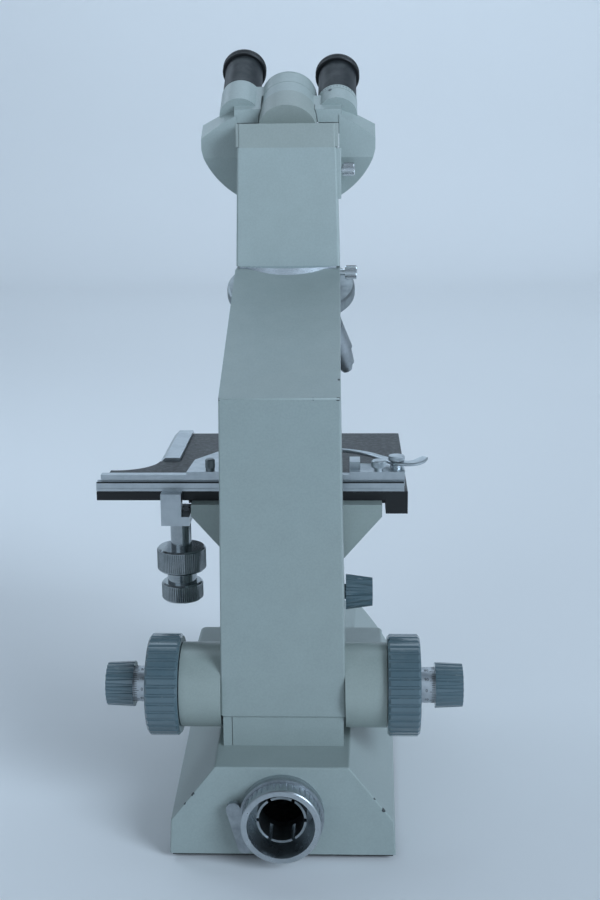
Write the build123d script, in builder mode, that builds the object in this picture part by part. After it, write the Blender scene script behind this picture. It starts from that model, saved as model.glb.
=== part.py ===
from build123d import *
import os
from math import cos, degrees, radians, sin, sqrt, tan

os.makedirs("parts", exist_ok=True)

# Upright laboratory microscope, in millimetres.
# The origin is where the optical axis meets the table. +Z is up, the observer sits on the -Y side,
# and the lamp socket is at the rear, on the +Y side.

# Clearances
slide_gap = 0.15  # between sliding ways
run_gap = 0.05  # radial, a shaft in its bearing
turn_gap = 0.4  # beside a turning piece
small_chamfer = 0.6

# Base
foot_height = 2.5
foot_radius = 9.0
foot_inset = 20.0
base_plate_thickness = 1.5
base_plate_inset = 1.5
base_rear = 194.0
base_front = -90.0
base_half_bottom = 67.0
shoulder_inset = 1.2  # how far the side wall leans in up to the shoulder
deck_inset = 27.8  # how far the deck's edge stands in from the foot
base_flare = 6.0  # half width gained from the rear end to the front end
shoulder_height = 25.7
deck_height = 60.0
base_wall = 5.0
wall_lean = 8.0  # most that a side wall leans, in degrees
side_lean = 3.0  # most that a side of the column or the tube block leans, in degrees
base_edge_radius = 1.8
base_rear_radius = 0.9
base_nose_radius = 16.0

# Gear housing on the deck, in front of the column
gear_front = 40.0
gear_half_width = 62.0
gear_top = 88.0
gear_skirt_height = 8.0
gear_corner_radius = 4.0

# Lamp socket
lamp_crown_gap = 1.0  # between the tube and the underside of the deck
lamp_floor_gap = 3.4  # between the tube and the base plate
lamp_flange_lip = 1.5
lamp_flange_length = 3.5
lamp_tube_wall = 3.5
lamp_tube_length = 17.1
lamp_tube_depth = 14.0  # behind the rear face
lamp_rim_length = 3.0
lamp_flute_count = 40
lamp_flute_radius = 0.8
sleeve_outer_radius = 14.7
sleeve_bore_radius = 13.3
sleeve_base_length = 3.0
sleeve_length = 22.0
sleeve_slot_count = 6
sleeve_slot_width = 2.2
lever_ring_width = 1.6
lever_thickness = 3.0
lever_top_out = 4.9  # top end of the tab, outside the tube and above the lamp axis
lever_top_rise = 5.6
lever_foot_in = 1.5  # lower end of the tab, inside the tube's edge and below the lamp axis
lever_foot_drop = 18.4
lever_width = 8.4

# Light path in the base
mirror_width = 36.0
mirror_corner = 3.0
mirror_length = 46.0
mirror_thickness = 3.0
mirror_mount_depth = 26.0
field_ring_radius = 21.0
field_ring_bore = 16.0
field_ring_height = 4.0
field_lens_thickness = 5.0
field_lip = 1.5

# Column and arm
column_rear = 167.0
column_front = 100.0
column_half = 37.5  # at the top of the foot strip
column_foot_height = 79.0
column_foot_recess = 1.3
crease_height = 273.7
crease_half = 34.6
arm_edge_y = 39.7
arm_top = 332.8
arm_nose_radius = 33.0
arm_nose_corner = 30.0
arm_throat_y = 80.0
arm_throat_z = 290.0
arm_front_z = 255.0
arm_step_y = 29.5
arm_step_drop = 6.0
column_edge_radius = 1.0
optic_bore = 13.0
seat_plate_bottom = 327.0
seat_plate_half = 31.5
seat_plate_rear_radius = 45.7
seat_plate_front = -29.0
foot_cover_thickness = 2.0
foot_cover_side = 31.0

# Focus slideway in the front of the column
way_half = 19.0
way_depth = 11.0
way_lip = 4.0
way_lip_inset = 5.0
way_bottom = 92.0
way_top = 245.0

# Focus drive
drive_y = 145.3
drive_rise = 31.1  # focus drive axis above the deck
boss_radius = 25.7
boss_end = 62.2
axle_hole_radius = 11.0

# Intermediate tube block
block_bottom = 334.2
block_top = 409.5
block_half_y = 32.0
block_half_bottom = 33.7
block_half_top = 31.8
block_edge_radius = 1.5
clamp_y = 5.0
clamp_z = 327.0
clamp_head_radius = 4.4
clamp_head_length = 8.0
clamp_stud_radius = 2.0
clamp_stand_off = 3.4
head_clamp_y = 14.0
head_clamp_z = 395.0
head_clamp_radius = 4.1
clamp_depth = 9.0

# Nosepiece
turret_tilt = 20.0
turret_y = -14.5
turret_z = 313.0
turret_radius = 43.5
turret_thickness = 9.0
turret_chamfer = 1.2
mount_radius = 30.0
mount_thickness = 3.0
pivot_radius = 6.0
objective_count = 4
objective_boss_radius = 11.4
objective_boss_length = 17.0
objective_barrel_radius = 9.8
objective_step = 1.0
objective_nose_radius = 7.0
objective_tip_radius = 3.6
objective_tip_length = 5.0
objective_bore = 7.0

# Binocular head
head_foot_half = 31.0
head_foot_front = -28.0
head_foot_rear = 32.0
head_foot_top = 424.5
head_edge_radius = 1.2
hinge_height = 429.0
hinge_rise = 30.0  # the eyepieces point this far above level, towards the observer
trunk_radius = 19.0
trunk_depth = 19.0
spindle_radius = 12.8
spindle_length = 24.8
ring_radius = 18.4
ring_width = 11.8
cap_thickness = 1.4
tube_spacing = 64.0
tube_collar_radius = 13.3
tube_bore = 11.6
collar_end = 23.8
drum_radius = 58.6
drum_inner = 33.4
drum_low = -21.0
drum_high = 2.0
drum_rear = 9.0
drum_shoulder_u = 57.0
drum_shoulder_v = -7.5
drum_boss_v = 1.2
web_top = 8.0
web_rear = 8.4
web_lap = 3.0
web_low = 12.0
eyepiece_barrel_radius = 12.8
eyepiece_rim_radius = 14.5
eyepiece_rim_round = 1.0
eyepiece_rim_lip = 2.0
eyepiece_rim_length = 6.0
eyepiece_eye_radius = 8.5
eyepiece_dish = 2.5
eye_lens_thickness = 3.0
lens_edge = 0.8
right_eyepiece_end = 64.3  # along the tube, from the hinge plane
left_eyepiece_end = 56.7
right_stem = 14.0  # reach of the barrel into its tube
left_stem = 8.0
eyepiece_shoulder_gap = 0.9  # how far the right eyepiece is drawn out
left_boss_end = 12.4
diopter_end = 17.0
diopter_radius = 13.3

# Focus drive knobs and shafts
fine_shaft_radius = 5.0
coarse_knob_radius = 30.8
coarse_knob_end = 82.2
coarse_knob_chamfer = 1.5
coarse_flute_count = 36
coarse_flute_radius = 1.1
scale_radius = 10.7
scale_end = 91.6
fine_knob_radius = 13.8
fine_knob_end = 108.3
fine_knob_taper = 3.0
fine_flute_count = 20
fine_flute_radius = 0.9
fine_shaft_reach = 102.0

# Focus slide and stage carrier
slide_bottom = 115.0
slide_top = 182.0
slide_plate_half = 24.0
slide_plate_thickness = 5.0
fine_neck_half = 7.0
fine_rail_half = 11.0
fine_rail_depth = 4.0
carrier_front = 78.0
carrier_half = 30.0
carrier_bottom = 112.0
gusset_half = 60.5
gusset_low = 183.0
gusset_foot = 148.0
frame_half = 60.0
frame_corner = 4.0
frame_front = -60.0
frame_bottom = 184.5
frame_hole_radius = 26.0

# Stage
stage_bottom = 190.8
stage_top = 196.8
stage_left = -77.0
stage_right = 77.6
stage_front = -79.0
stage_rear = 84.7
wing_right = 122.0
wing_y = 31.0
wing_root_x = 92.0
wing_root_y = 6.5
wing_knee = (98.0, 21.7)
stage_slot_width = 32.0
stage_slot_length = 80.0
guide_width = 6.0
guide_lip = 4.0
guide_lip_height = 3.0
guide_front = -44.0
guide_rear = 58.0
corner_block_gap = 3.0  # between the block and the stage carrier
corner_block_bottom = 182.0
corner_block_length = 20.0
strip_width = 14.4
strip_bevel = 4.0
strip_bottom = 186.0
strip_top = 199.0
strip_front = -80.0
strip_rear = 6.0

# Cross rail and slider
rail_depth = 7.0
rail_top = 202.7
rail_left = -74.7
rail_groove_width = 3.0
rail_groove_depth = 3.0
slider_left = -75.0
slider_right = 119.0
slider_bottom = 204.5
slider_top = 207.4
slider_depth = 6.0
jaw_outer = 64.0
jaw_elbow = (62.0, 52.0)
jaw_tip_outer = 44.0
jaw_tip_inner = 38.0
jaw_tip = 22.0
jaw_step = 60.0
jaw_heel = (30.0, 68.0)
holder_thickness = 2.0
jaw_knob_radius = 2.9
jaw_knob_height = 8.0
jaw_knob_x = 49.0
finger_thickness = 2.0
finger_width = 5.0
holder_left = -75.0
holder_right = -40.0
holder_front = 62.0
stop_width = 6.7
stop_length = 14.2
stop_height = 4.5
screw_x = -58.5
screw_radius = 4.6
screw_height = 7.0
screw_neck = 2.5
screw_undercut = 1.6
knurl_chamfer = 0.6
post_x = -70.0
post_y = 73.0
post_radius = 5.0
post_base_radius = 4.0
post_base = 2.2
post_cap = 3.0
post_pin_radius = 2.5

# Coaxial stage drive
coax_x = 70.0
coax_y = 73.0
bracket_left = 67.0
bracket_right = 80.0
bracket_depth = 8.0
bracket_bottom = 176.0
bracket_foot_left = 62.0
bracket_foot_thickness = 6.0
bracket_foot_front = 62.0
sleeve_shaft_radius = 6.8
inner_shaft_radius = 4.3
y_knob_radius = 15.75
y_knob_top = 156.4
y_knob_bottom = 141.0
x_knob_radius = 13.4
x_knob_top = 133.0
x_knob_bottom = 121.0
x_collar_radius = 9.6
x_collar_top = 139.0
stage_knob_chamfer = 1.0

# Condenser
condenser_slide_bottom = 138.0
condenser_slide_top = 172.0
condenser_neck_half = 6.0
condenser_rail_half = 10.0
condenser_rail_neck = 3.0
condenser_rail_head = 3.0
condenser_block_half = 16.0
condenser_block_depth = 12.0
condenser_ring_radius = 27.0
condenser_ring_bottom = 152.0
condenser_ring_top = 162.0
condenser_arm_half = 13.0
condenser_radius = 22.0
condenser_low_radius = 18.0
condenser_bottom = 136.0
condenser_top = 187.0
condenser_nose = 6.0
condenser_nose_taper = 35.0
condenser_lens_radius = 12.0
condenser_lens_thickness = 4.0
condenser_knob_y = 86.0
condenser_knob_z = 130.0
condenser_knob_start = 37.5
condenser_knob_end = 54.7
condenser_knob_radius = 11.6
condenser_knob_taper = 6.6
condenser_flute_count = 13
condenser_flute_radius = 1.5
condenser_pinion_radius = 3.0
condenser_pinion_end = 13.0
pinion_end_gap = 1.0
iris_bottom = 141.0
iris_thickness = 3.0
iris_ring_radius = 22.0
iris_lever_radius = 1.4
iris_lever_reach = 38.0
condenser_neck_radius = 5.0

# Slide finger, from the post
finger_bend = Vector(20, -24)
finger_tip = Vector(52, -36)
tail_bend = Vector(-11, 3.5)
tail_tip = Vector(-20, -1)

# Objectives, from the seat face to the tip, in turret order
objective_names = ["objective_high", "objective_oil", "objective_low", "objective_medium"]
objective_lengths = [45.5, 46.0, 34.0, 40.0]
objective_neck_length = 12.0

# Values worked out from the driving dimensions
base_bottom = foot_height + base_plate_thickness
base_length = base_rear - base_front
base_half_shoulder = base_half_bottom - shoulder_inset
base_half_deck = base_half_bottom - deck_inset
lamp_room = deck_height - base_wall - lamp_crown_gap - base_bottom - lamp_floor_gap
lamp_tube_radius = lamp_room / 2
lamp_tube_bore = lamp_tube_radius - lamp_tube_wall
lamp_flange_radius = lamp_tube_radius + lamp_flange_lip
lamp_height = base_bottom + lamp_floor_gap + lamp_tube_radius
lever_top = Vector(lamp_tube_radius + lever_top_out, -lever_top_rise)
lever_foot = Vector(lamp_tube_radius - lever_foot_in, lever_foot_drop)
lamp_plane = Plane(origin=(0, base_rear, lamp_height), x_dir=(1, 0, 0), z_dir=(0, 1, 0))


def base_half(height_half, y):
    return height_half + base_flare * (base_rear - y) / base_length


def side_plane(side, low, high, inset):
    low_half, low_height = low
    high_half, high_height = high
    rise = Vector(side * (high_half - low_half), 0, high_height - low_height)
    run = Vector(side * base_flare, -base_length, 0)
    outward = (rise.cross(run) * side).normalized()
    corner = Vector(side * low_half, base_rear, low_height) - outward * inset
    return Plane(origin=corner, z_dir=outward)


def trough(rear, front, inset):
    with BuildPart() as block:
        with Locations((0, rear, base_bottom)):
            Box(
                2 * (base_half_bottom + base_flare),
                rear - front,
                deck_height - inset - base_bottom,
                align=(Align.CENTER, Align.MAX, Align.MIN),
            )
        for side in (1, -1):
            shoulder = (base_half_shoulder, shoulder_height)
            wall = side_plane(side, (base_half_bottom, base_bottom), shoulder, inset)
            slope = side_plane(side, shoulder, (base_half_deck, deck_height), inset)
            split(bisect_by=wall, keep=Keep.BOTTOM)
            split(bisect_by=slope, keep=Keep.BOTTOM)
    return block.part


# Base casting: a hollow hexagonal trough, open underneath
with BuildPart() as base_casting:
    add(trough(base_rear, base_front, 0))
    nose = base_casting.faces().sort_by(Axis.Y)[0].edges()
    fillet(nose.filter_by(Axis.Z, tolerance=wall_lean), base_nose_radius)
    deck_edges = base_casting.faces().sort_by(Axis.Z)[-1].edges()
    fillet(deck_edges.sort_by(Axis.Y)[:-1], base_edge_radius)
    rear_edges = base_casting.faces().sort_by(Axis.Y)[-1].edges().sort_by(Axis.Z)[1:]
    fillet(rear_edges, base_rear_radius)
    add(trough(base_rear - base_wall, base_front + base_nose_radius, base_wall), mode=Mode.SUBTRACT)
    with BuildSketch(lamp_plane):
        Circle(lamp_tube_radius + run_gap)
    extrude(amount=-base_wall, mode=Mode.SUBTRACT)
    with BuildSketch(Plane.XY.offset(deck_height)):
        Circle(field_ring_bore)
    extrude(amount=-base_wall, mode=Mode.SUBTRACT)
base_casting.part.label = "base_casting"
export_step(base_casting.part, "parts/base_casting.step")

# Base plate: the sheet that closes the trough and carries the feet
plate_rear_half = base_half(base_half_bottom, base_rear) - base_plate_inset
plate_front_half = base_half(base_half_bottom, base_front) - base_plate_inset
with BuildPart() as base_plate:
    with BuildSketch(Plane.XY.offset(foot_height)) as plate_outline:
        with BuildLine():
            Polyline(
                (-plate_rear_half, base_rear - base_plate_inset),
                (plate_rear_half, base_rear - base_plate_inset),
                (plate_front_half, base_front + base_plate_inset),
                (-plate_front_half, base_front + base_plate_inset),
                close=True,
            )
        make_face()
        fillet(plate_outline.vertices().group_by(Axis.Y)[0], base_nose_radius)
    extrude(amount=base_plate_thickness)
base_plate.part.label = "base_plate"
export_step(base_plate.part, "parts/base_plate.step")

# Rubber feet: four pads under the plate
foot_y_rear = base_rear - foot_inset
foot_y_front = base_front + foot_inset
foot_x = base_half_bottom - foot_inset
with BuildPart() as rubber_feet:
    with BuildSketch(Plane.XY):
        with Locations([(x, y) for x in (foot_x, -foot_x) for y in (foot_y_rear, foot_y_front)]):
            Circle(foot_radius)
    extrude(amount=foot_height)
rubber_feet.part.label = "rubber_feet"
export_step(rubber_feet.part, "parts/rubber_feet.step")

# Lamp tube: flange, fluted barrel and plain rim around the lamp bore
with BuildPart() as lamp_tube:
    with BuildSketch(lamp_plane):
        Circle(lamp_flange_radius)
    extrude(amount=lamp_flange_length)
    with BuildSketch(lamp_plane.offset(-lamp_tube_depth)):
        Circle(lamp_tube_radius)
    extrude(amount=lamp_tube_depth + lamp_tube_length)
    chamfer(lamp_tube.edges().group_by(Axis.Y)[-1], small_chamfer)
    with BuildSketch(lamp_plane.offset(-lamp_tube_depth)):
        Circle(lamp_tube_bore)
    extrude(amount=lamp_tube_depth + lamp_tube_length, mode=Mode.SUBTRACT)
    with BuildSketch(lamp_plane.offset(lamp_flange_length + lever_thickness + 2 * turn_gap)):
        with PolarLocations(lamp_tube_radius, lamp_flute_count):
            Circle(lamp_flute_radius)
    extrude(
        amount=lamp_tube_length - lamp_flange_length - lever_thickness - 2 * turn_gap - lamp_rim_length,
        mode=Mode.SUBTRACT,
    )
lamp_tube.part.label = "lamp_tube"
export_step(lamp_tube.part, "parts/lamp_tube.step")

# Lamp sleeve: spring fingers that grip the lamp holder, standing on a ring at the inner end
with BuildPart() as lamp_sleeve:
    with BuildSketch(lamp_plane.offset(-lamp_tube_depth)):
        Circle(lamp_tube_bore)
        Circle(sleeve_bore_radius, mode=Mode.SUBTRACT)
    extrude(amount=sleeve_base_length)
    with BuildSketch(lamp_plane.offset(-lamp_tube_depth)):
        Circle(sleeve_outer_radius)
        Circle(sleeve_bore_radius, mode=Mode.SUBTRACT)
    extrude(amount=sleeve_length)
    with BuildSketch(lamp_plane.offset(-lamp_tube_depth + 2 * sleeve_base_length)):
        with PolarLocations(sleeve_outer_radius, sleeve_slot_count):
            Rectangle(2 * sleeve_outer_radius - sleeve_bore_radius, sleeve_slot_width)
    extrude(amount=sleeve_length, mode=Mode.SUBTRACT)
lamp_sleeve.part.label = "lamp_sleeve"
export_step(lamp_sleeve.part, "parts/lamp_sleeve.step")

# Lamp lever: a ring that turns on the lamp tube, with a flat thumb tab
lever_plane = lamp_plane.offset(lamp_flange_length + turn_gap)
with BuildPart() as lamp_lever:
    with BuildSketch(lever_plane):
        Circle(lamp_tube_radius + run_gap + lever_ring_width)
        SlotCenterPoint((lever_top + lever_foot) / 2, lever_foot, lever_width)
        Circle(lamp_tube_radius + run_gap, mode=Mode.SUBTRACT)
    extrude(amount=lever_thickness)
lamp_lever.part.label = "lamp_lever"
export_step(lamp_lever.part, "parts/lamp_lever.step")

# Mirror on a wedge, turning the lamp beam up through the field lens
mirror_plane = Plane(origin=(0, 0, lamp_height), x_dir=(1, 0, 0), z_dir=(0, sqrt(0.5), sqrt(0.5)))
with BuildPart() as lamp_mirror:
    with BuildSketch(mirror_plane):
        RectangleRounded(mirror_width, mirror_length, mirror_corner)
    extrude(amount=-mirror_thickness)
lamp_mirror.part.label = "lamp_mirror"
export_step(lamp_mirror.part, "parts/lamp_mirror.step")

with BuildPart() as mirror_mount:
    with BuildSketch(mirror_plane.offset(-mirror_thickness)):
        Rectangle(mirror_width, mirror_length)
    extrude(amount=-2 * lamp_height)
    split(bisect_by=Plane.XY.offset(base_bottom), keep=Keep.TOP)
    split(bisect_by=Plane.XZ.offset(mirror_mount_depth), keep=Keep.BOTTOM)
mirror_mount.part.label = "mirror_mount"
export_step(mirror_mount.part, "parts/mirror_mount.step")

# Field ring and field lens over the hole in the deck
with BuildPart() as field_ring:
    with BuildSketch(Plane.XY.offset(deck_height)):
        Circle(field_ring_radius)
    extrude(amount=field_ring_height)
    fillet(field_ring.edges().group_by(Axis.Z)[-1], field_lip / 2)
    with BuildSketch(Plane.XY.offset(deck_height)):
        Circle(field_ring_bore)
    extrude(amount=field_ring_height, mode=Mode.SUBTRACT)
field_ring.part.label = "field_ring"
export_step(field_ring.part, "parts/field_ring.step")

with BuildPart() as field_lens:
    with BuildSketch(Plane.XY.offset(deck_height + field_ring_height - field_lip)):
        Circle(field_ring_bore)
    extrude(amount=-field_lens_thickness)
    fillet(field_lens.edges().group_by(Axis.Z)[-1], field_lip / 2)
field_lens.part.label = "field_lens"
export_step(field_lens.part, "parts/field_lens.step")

drive_z = deck_height + drive_rise

# Turret frame: the disc leans so that the rear objective stands upright on the optical axis
tilt = radians(turret_tilt)
turret_plane = Plane(origin=(0, turret_y, turret_z), x_dir=(1, 0, 0), z_dir=(0, sin(tilt), cos(tilt)))
nose_plane = turret_plane.offset(turret_thickness / 2 + turn_gap + mount_thickness)


def nose_underside(y):
    return nose_plane.origin.Z - (y - nose_plane.origin.Y) * tan(tilt)


# Side faces of the column and arm lean in towards the top
side_slope = (column_half - crease_half) / (crease_height - column_foot_height)
side_planes = [
    Plane(origin=(side * column_half, 0, column_foot_height), x_dir=(0, 1, 0), z_dir=(side, 0, side_slope))
    for side in (1, -1)
]
foot_half = column_half - column_foot_recess
foot_rear = column_rear - column_foot_recess

# Outline of the seat plate, shared with its recess in the arm
with BuildSketch(Plane.XY.offset(seat_plate_bottom)) as seat_outline:
    Circle(seat_plate_rear_radius)
    with Locations((0, (seat_plate_rear_radius + seat_plate_front) / 2)):
        Rectangle(2 * seat_plate_half, seat_plate_rear_radius - seat_plate_front, mode=Mode.INTERSECT)

# Column and arm in one casting
with BuildPart() as column_arm:
    with BuildSketch(Plane.YZ):
        with BuildLine():
            outline = Polyline(
                (column_front, arm_front_z),
                (column_front, column_foot_height),
                (column_rear, column_foot_height),
                (column_rear, crease_height),
                (arm_edge_y, arm_top),
                (-arm_nose_radius, arm_top),
                (-arm_nose_radius, nose_underside(-arm_nose_radius)),
                (arm_step_y, nose_underside(arm_step_y)),
                (arm_step_y, nose_underside(arm_step_y) - arm_step_drop),
                (arm_throat_y, arm_throat_z),
            )
            TangentArc(outline @ 1, outline @ 0, tangent=outline % 1)
        make_face()
    extrude(amount=column_half, both=True)
    for plane in side_planes:
        split(bisect_by=plane, keep=Keep.BOTTOM)
    fillet(column_arm.edges().filter_by(Axis.Z, tolerance=side_lean).group_by(Axis.Y)[0], arm_nose_corner)
    fillet(column_arm.faces().sort_by(Axis.Y)[-1].edges(), column_edge_radius)
    with BuildSketch(Plane.XY.offset(deck_height)):
        with Locations((0, (column_front + foot_rear) / 2)):
            Rectangle(2 * foot_half, foot_rear - column_front)
    extrude(until=Until.NEXT)
    with BuildSketch(Plane.XZ.offset(-foot_rear)):
        with Locations((foot_cover_side / 2 - foot_half / 2, (deck_height + column_foot_height) / 2)):
            Rectangle(foot_half + foot_cover_side, column_foot_height - deck_height)
    extrude(amount=foot_cover_thickness, mode=Mode.SUBTRACT)
    extrude(seat_outline.sketch, amount=arm_top - seat_plate_bottom, mode=Mode.SUBTRACT)
    with BuildSketch(Plane.XY.offset(seat_plate_bottom)):
        Circle(optic_bore)
    extrude(amount=-(seat_plate_bottom - arm_throat_z), mode=Mode.SUBTRACT)
    with BuildSketch(Plane.XZ.offset(-column_front)):
        with Locations((0, (way_bottom + way_top) / 2)):
            Rectangle(2 * (way_half - way_lip_inset), way_top - way_bottom)
    extrude(amount=-way_depth, mode=Mode.SUBTRACT)
    with BuildSketch(Plane.XZ.offset(-column_front - way_lip)):
        with Locations((0, (way_bottom + way_top) / 2)):
            Rectangle(2 * way_half, way_top - way_bottom)
    extrude(amount=-(way_depth - way_lip), mode=Mode.SUBTRACT)
    with BuildSketch(Plane.YZ.offset(-column_half)):
        with Locations((drive_y, drive_z)):
            Circle(axle_hole_radius)
    extrude(amount=2 * column_half, mode=Mode.SUBTRACT)
    with BuildSketch(Plane.YZ.offset(-column_half)):
        with Locations((clamp_y, clamp_z)):
            Circle(clamp_stud_radius + run_gap)
    extrude(amount=column_half - seat_plate_half + clamp_depth, mode=Mode.SUBTRACT)
column_arm.part.label = "column_arm"
export_step(column_arm.part, "parts/column_arm.step")

# Foot cover: the plate over the foot of the column, with an open seam along one side
with BuildPart() as foot_cover:
    with BuildSketch(Plane.XZ.offset(-foot_rear)):
        with Locations((-foot_half, deck_height)):
            Rectangle(
                foot_half + foot_cover_side - turn_gap,
                column_foot_height - deck_height,
                align=(Align.MIN, Align.MIN),
            )
    extrude(amount=foot_cover_thickness)
foot_cover.part.label = "foot_cover"
export_step(foot_cover.part, "parts/foot_cover.step")

# Bearing bosses of the focus drive, one on each side of the column
with BuildPart() as drive_bosses:
    with BuildSketch(Plane.YZ):
        with Locations((drive_y, drive_z)):
            Circle(boss_radius)
            Circle(axle_hole_radius, mode=Mode.SUBTRACT)
    extrude(amount=boss_end)
    split(bisect_by=side_planes[0], keep=Keep.TOP)
    mirror(about=Plane.YZ)
drive_bosses.part.label = "drive_bosses"
export_step(drive_bosses.part, "parts/drive_bosses.step")

# Gear housing: a closed casting on the deck, with a skirt that draws in to the deck
with BuildPart() as gear_housing:
    with BuildSketch(Plane.XZ.offset(-column_front)):
        with BuildLine():
            Polyline(
                (-base_half_deck, deck_height),
                (-gear_half_width, deck_height + gear_skirt_height),
                (-gear_half_width, gear_top),
                (gear_half_width, gear_top),
                (gear_half_width, deck_height + gear_skirt_height),
                (base_half_deck, deck_height),
                close=True,
            )
        make_face()
    extrude(amount=column_front - gear_front)
    fillet(gear_housing.edges().filter_by(Axis.Z).group_by(Axis.Y)[0], gear_corner_radius)
    fillet(gear_housing.faces().sort_by(Axis.Z)[-1].edges().group_by(Axis.Y)[:-1], gear_corner_radius / 2)
gear_housing.part.label = "gear_housing"
export_step(gear_housing.part, "parts/gear_housing.step")

# Seat plate: the bright dovetail plate between the arm and the tube block
with BuildPart() as seat_plate:
    extrude(seat_outline.sketch, amount=block_bottom - seat_plate_bottom)
    with BuildSketch(Plane.XY.offset(seat_plate_bottom)):
        Circle(optic_bore)
    extrude(amount=block_bottom - seat_plate_bottom, mode=Mode.SUBTRACT)
    with BuildSketch(Plane.YZ.offset(-seat_plate_half)):
        with Locations((clamp_y, clamp_z)):
            Circle(clamp_stud_radius + run_gap)
    extrude(amount=clamp_depth, mode=Mode.SUBTRACT)
seat_plate.part.label = "seat_plate"
export_step(seat_plate.part, "parts/seat_plate.step")

# Tube block between the arm and the head, drawn in towards the top
block_slope = (block_half_bottom - block_half_top) / (block_top - block_bottom)
with BuildPart() as tube_block:
    with BuildSketch(Plane.XY.offset(block_bottom)):
        Rectangle(2 * block_half_bottom, 2 * block_half_y)
    extrude(amount=block_top - block_bottom)
    for side in (1, -1):
        face_foot = (side * block_half_bottom, 0, block_bottom)
        face = Plane(origin=face_foot, x_dir=(0, 1, 0), z_dir=(side, 0, block_slope))
        split(bisect_by=face, keep=Keep.BOTTOM)
    fillet(tube_block.edges().filter_by(Axis.Z, tolerance=side_lean), block_edge_radius)
    with BuildSketch(Plane.XY.offset(block_bottom)):
        Circle(optic_bore)
    extrude(amount=block_top - block_bottom, mode=Mode.SUBTRACT)
    with BuildSketch(Plane.YZ.offset(-block_half_bottom)):
        with Locations((head_clamp_y, head_clamp_z)):
            Circle(clamp_stud_radius + run_gap)
    extrude(amount=block_half_bottom - block_half_top + clamp_depth, mode=Mode.SUBTRACT)
tube_block.part.label = "tube_block"
export_step(tube_block.part, "parts/tube_block.step")


def clamp_screw(face_x, y, z, head_radius):
    start = -face_x - clamp_stand_off
    with BuildPart() as screw:
        with BuildSketch(Plane.YZ.offset(-face_x + clamp_depth)):
            with Locations((y, z)):
                Circle(clamp_stud_radius)
        extrude(amount=start - (-face_x + clamp_depth))
        with BuildSketch(Plane.YZ.offset(start)):
            with Locations((y, z)):
                Circle(head_radius)
        extrude(amount=-clamp_head_length)
        chamfer(screw.edges().filter_by(GeomType.CIRCLE).sort_by(Axis.X)[0], small_chamfer)
    return screw


# Knurled clamp screws, both on the -X side
arm_half_at_clamp = column_half - side_slope * (clamp_z - column_foot_height)
tube_clamp_screw = clamp_screw(arm_half_at_clamp, clamp_y, clamp_z, clamp_head_radius)
tube_clamp_screw.part.label = "tube_clamp_screw"
export_step(tube_clamp_screw.part, "parts/tube_clamp_screw.step")

block_half_at_clamp = block_half_bottom - block_slope * (head_clamp_z - block_bottom)
head_clamp_screw = clamp_screw(block_half_at_clamp, head_clamp_y, head_clamp_z, head_clamp_radius)
head_clamp_screw.part.label = "head_clamp_screw"
export_step(head_clamp_screw.part, "parts/head_clamp_screw.step")

# Hinge frame of the head: x across, y up the hinge plane, z along the eyepieces
rise = radians(hinge_rise)
hinge_plane = Plane(origin=(0, 0, hinge_height), x_dir=(1, 0, 0), z_dir=(0, -cos(rise), sin(rise)))
tube_u = tube_spacing / 2
fold_clear = ring_radius + turn_gap

# Head body: foot on the tube block, trunk, and the spindle that both tubes swing on
with BuildPart() as head_body:
    with BuildSketch(Plane.XY.offset(block_top)):
        with Locations((0, (head_foot_front + head_foot_rear) / 2)):
            Rectangle(2 * head_foot_half, head_foot_rear - head_foot_front)
    extrude(amount=head_foot_top - block_top)
    fillet(head_body.edges().filter_by(Axis.Z), head_edge_radius)
    with BuildSketch(hinge_plane.offset(-turn_gap)):
        Circle(ring_radius + turn_gap)
        with Locations((0, 2 * trunk_radius - fold_clear)):
            Rectangle(4 * tube_u, 4 * trunk_radius)
    extrude(amount=3 * trunk_radius, mode=Mode.SUBTRACT)
    with BuildSketch(hinge_plane.offset(-trunk_depth)):
        Circle(trunk_radius)
    extrude(amount=trunk_depth)
    split(bisect_by=Plane.XY.offset(block_top), keep=Keep.TOP)
    with BuildSketch(hinge_plane):
        Circle(spindle_radius)
    extrude(amount=spindle_length)
head_body.part.label = "head_body"
export_step(head_body.part, "parts/head_body.step")

# Hinge cap at the end of the spindle
with BuildPart() as hinge_cap:
    with BuildSketch(hinge_plane.offset(spindle_length)):
        Circle(ring_radius)
    extrude(amount=cap_thickness)
    fillet(hinge_cap.faces().sort_by(Axis.Z)[-1].edges(), cap_thickness / 2)
hinge_cap.part.label = "hinge_cap"
export_step(hinge_cap.part, "parts/hinge_cap.step")


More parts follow.
